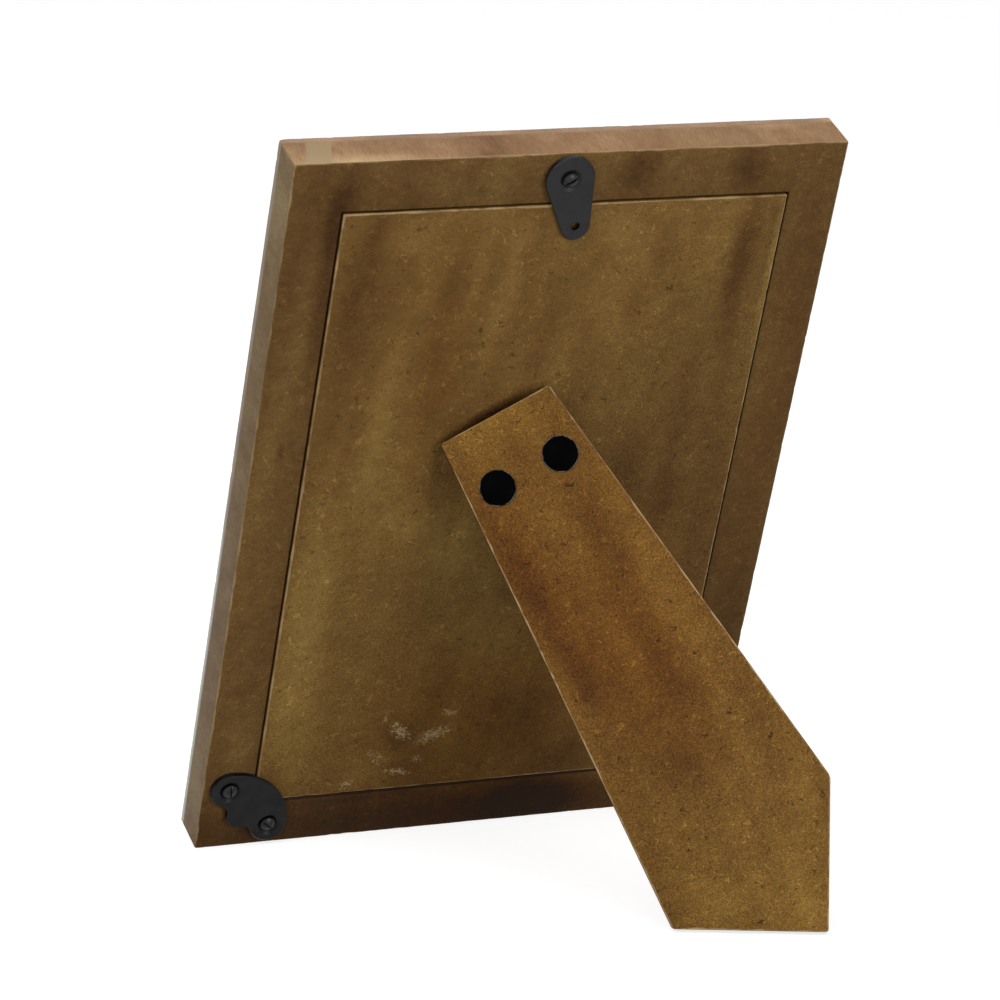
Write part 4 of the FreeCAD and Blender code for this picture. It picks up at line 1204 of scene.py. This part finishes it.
class PHOTO_FRAME_OT_stage(bpy.types.Operator):
    """Makes the floor, the world, the lamps and the camera"""

    bl_idname = "photo_frame.stage"
    bl_label = "Stage"

    def execute(self, context):
        stage = context.scene.photo_frame_stage
        context.scene.view_settings.view_transform = "Standard"
        self.add_floor(stage)
        self.add_world(context.scene, stage)
        levels = (stage.key_level, stage.fill_level, stage.top_level)
        for (name, azimuth, elevation, distance, width), level in zip(LAMPS, levels):
            add_lamp(name, azimuth, elevation, distance, width, level)
        self.add_camera(context.scene, stage)
        return {"FINISHED"}

    def add_floor(self, stage):
        """A wide pale floor."""
        mesh = bmesh.new()
        ends = ((-1, -1), (1, -1), (1, 1), (-1, 1))
        mesh.faces.new([mesh.verts.new((x * FLOOR_HALF, y * FLOOR_HALF, 0)) for x, y in ends])
        floor = piece_from(mesh, "floor")
        finish = Finish("floor", {"Roughness": 0.9, "Specular IOR Level": 0, "Emission Strength": 1})
        seen = seen_directly(finish)
        finish.plug(finish.shader, "Emission Color", finish.blend(seen, (0, 0, 0), stage.floor_glow))
        finish.cover(finish.blend(seen, stage.floor_bounce, stage.floor_tone))
        floor.data.materials.append(finish.owner)

    def add_world(self, scene, stage):
        """Even light from all round, and a white background."""
        finish = Finish("studio", {"Color": WHITE}, world=True)
        seen = seen_directly(finish)
        finish.plug(finish.shader, "Strength", stage.world_level + (1 - stage.world_level) * seen)
        scene.world = finish.owner

    def add_camera(self, scene, stage):
        """The photograph's view of the frame."""
        data = bpy.data.cameras.new("camera")
        data.lens = stage.camera_lens
        data.clip_start = CLIP_START
        camera = bpy.data.objects.new("camera", data)
        camera.location = stage.camera_place
        camera.rotation_mode = "QUATERNION"
        level = Vector(stage.camera_direction).to_track_quat("-Z", "Y")
        roll = Matrix.Rotation(stage.camera_roll, 3, "Z").to_quaternion()
        camera.rotation_quaternion = level @ roll
        scene.collection.objects.link(camera)
        scene.camera = camera


class PHOTO_FRAME_PT_sidebar(bpy.types.Panel):
    """Lists the settings and the makers of the pieces"""

    bl_idname = "PHOTO_FRAME_PT_sidebar"
    bl_label = "Photo Frame"
    bl_space_type = "VIEW_3D"
    bl_region_type = "UI"
    bl_category = "Photo Frame"

    def draw(self, context):
        for name, group in SETTINGS.items():
            box = self.layout.box()
            for setting in group.__annotations__:
                box.prop(getattr(context.scene, name), setting)
        for operator in OPERATORS:
            self.layout.operator(operator.bl_idname)


SETTINGS = {
    "photo_frame_boards": BoardSettings,
    "photo_frame_fittings": FittingSettings,
    "photo_frame_front": FrontSettings,
    "photo_frame_stage": StageSettings,
}
OPERATORS = (
    PHOTO_FRAME_OT_stage,
    PHOTO_FRAME_OT_ring,
    PHOTO_FRAME_OT_facing,
    PHOTO_FRAME_OT_glass_and_card,
    PHOTO_FRAME_OT_loose_back,
    PHOTO_FRAME_OT_leg,
    PHOTO_FRAME_OT_black_fittings,
    PHOTO_FRAME_OT_hinge,
)
CLASSES = (*SETTINGS.values(), *OPERATORS, PHOTO_FRAME_PT_sidebar)


def register():
    """Registers the classes and hangs the settings on the scene."""
    for made in CLASSES:
        bpy.utils.register_class(made)
    for name, group in SETTINGS.items():
        setattr(bpy.types.Scene, name, PointerProperty(type=group))


def unregister():
    """Takes the settings and the classes away again."""
    for name in SETTINGS:
        delattr(bpy.types.Scene, name)
    for made in reversed(CLASSES):
        bpy.utils.unregister_class(made)


def main():
    """Makes every piece in order."""
    register()
    bpy.ops.photo_frame.stage()
    bpy.ops.photo_frame.ring()
    bpy.ops.photo_frame.facing()
    bpy.ops.photo_frame.glass_and_card()
    bpy.ops.photo_frame.loose_back()
    bpy.ops.photo_frame.leg()
    bpy.ops.photo_frame.black_fittings()
    bpy.ops.photo_frame.hinge()


if __name__ == "__main__":
    main()
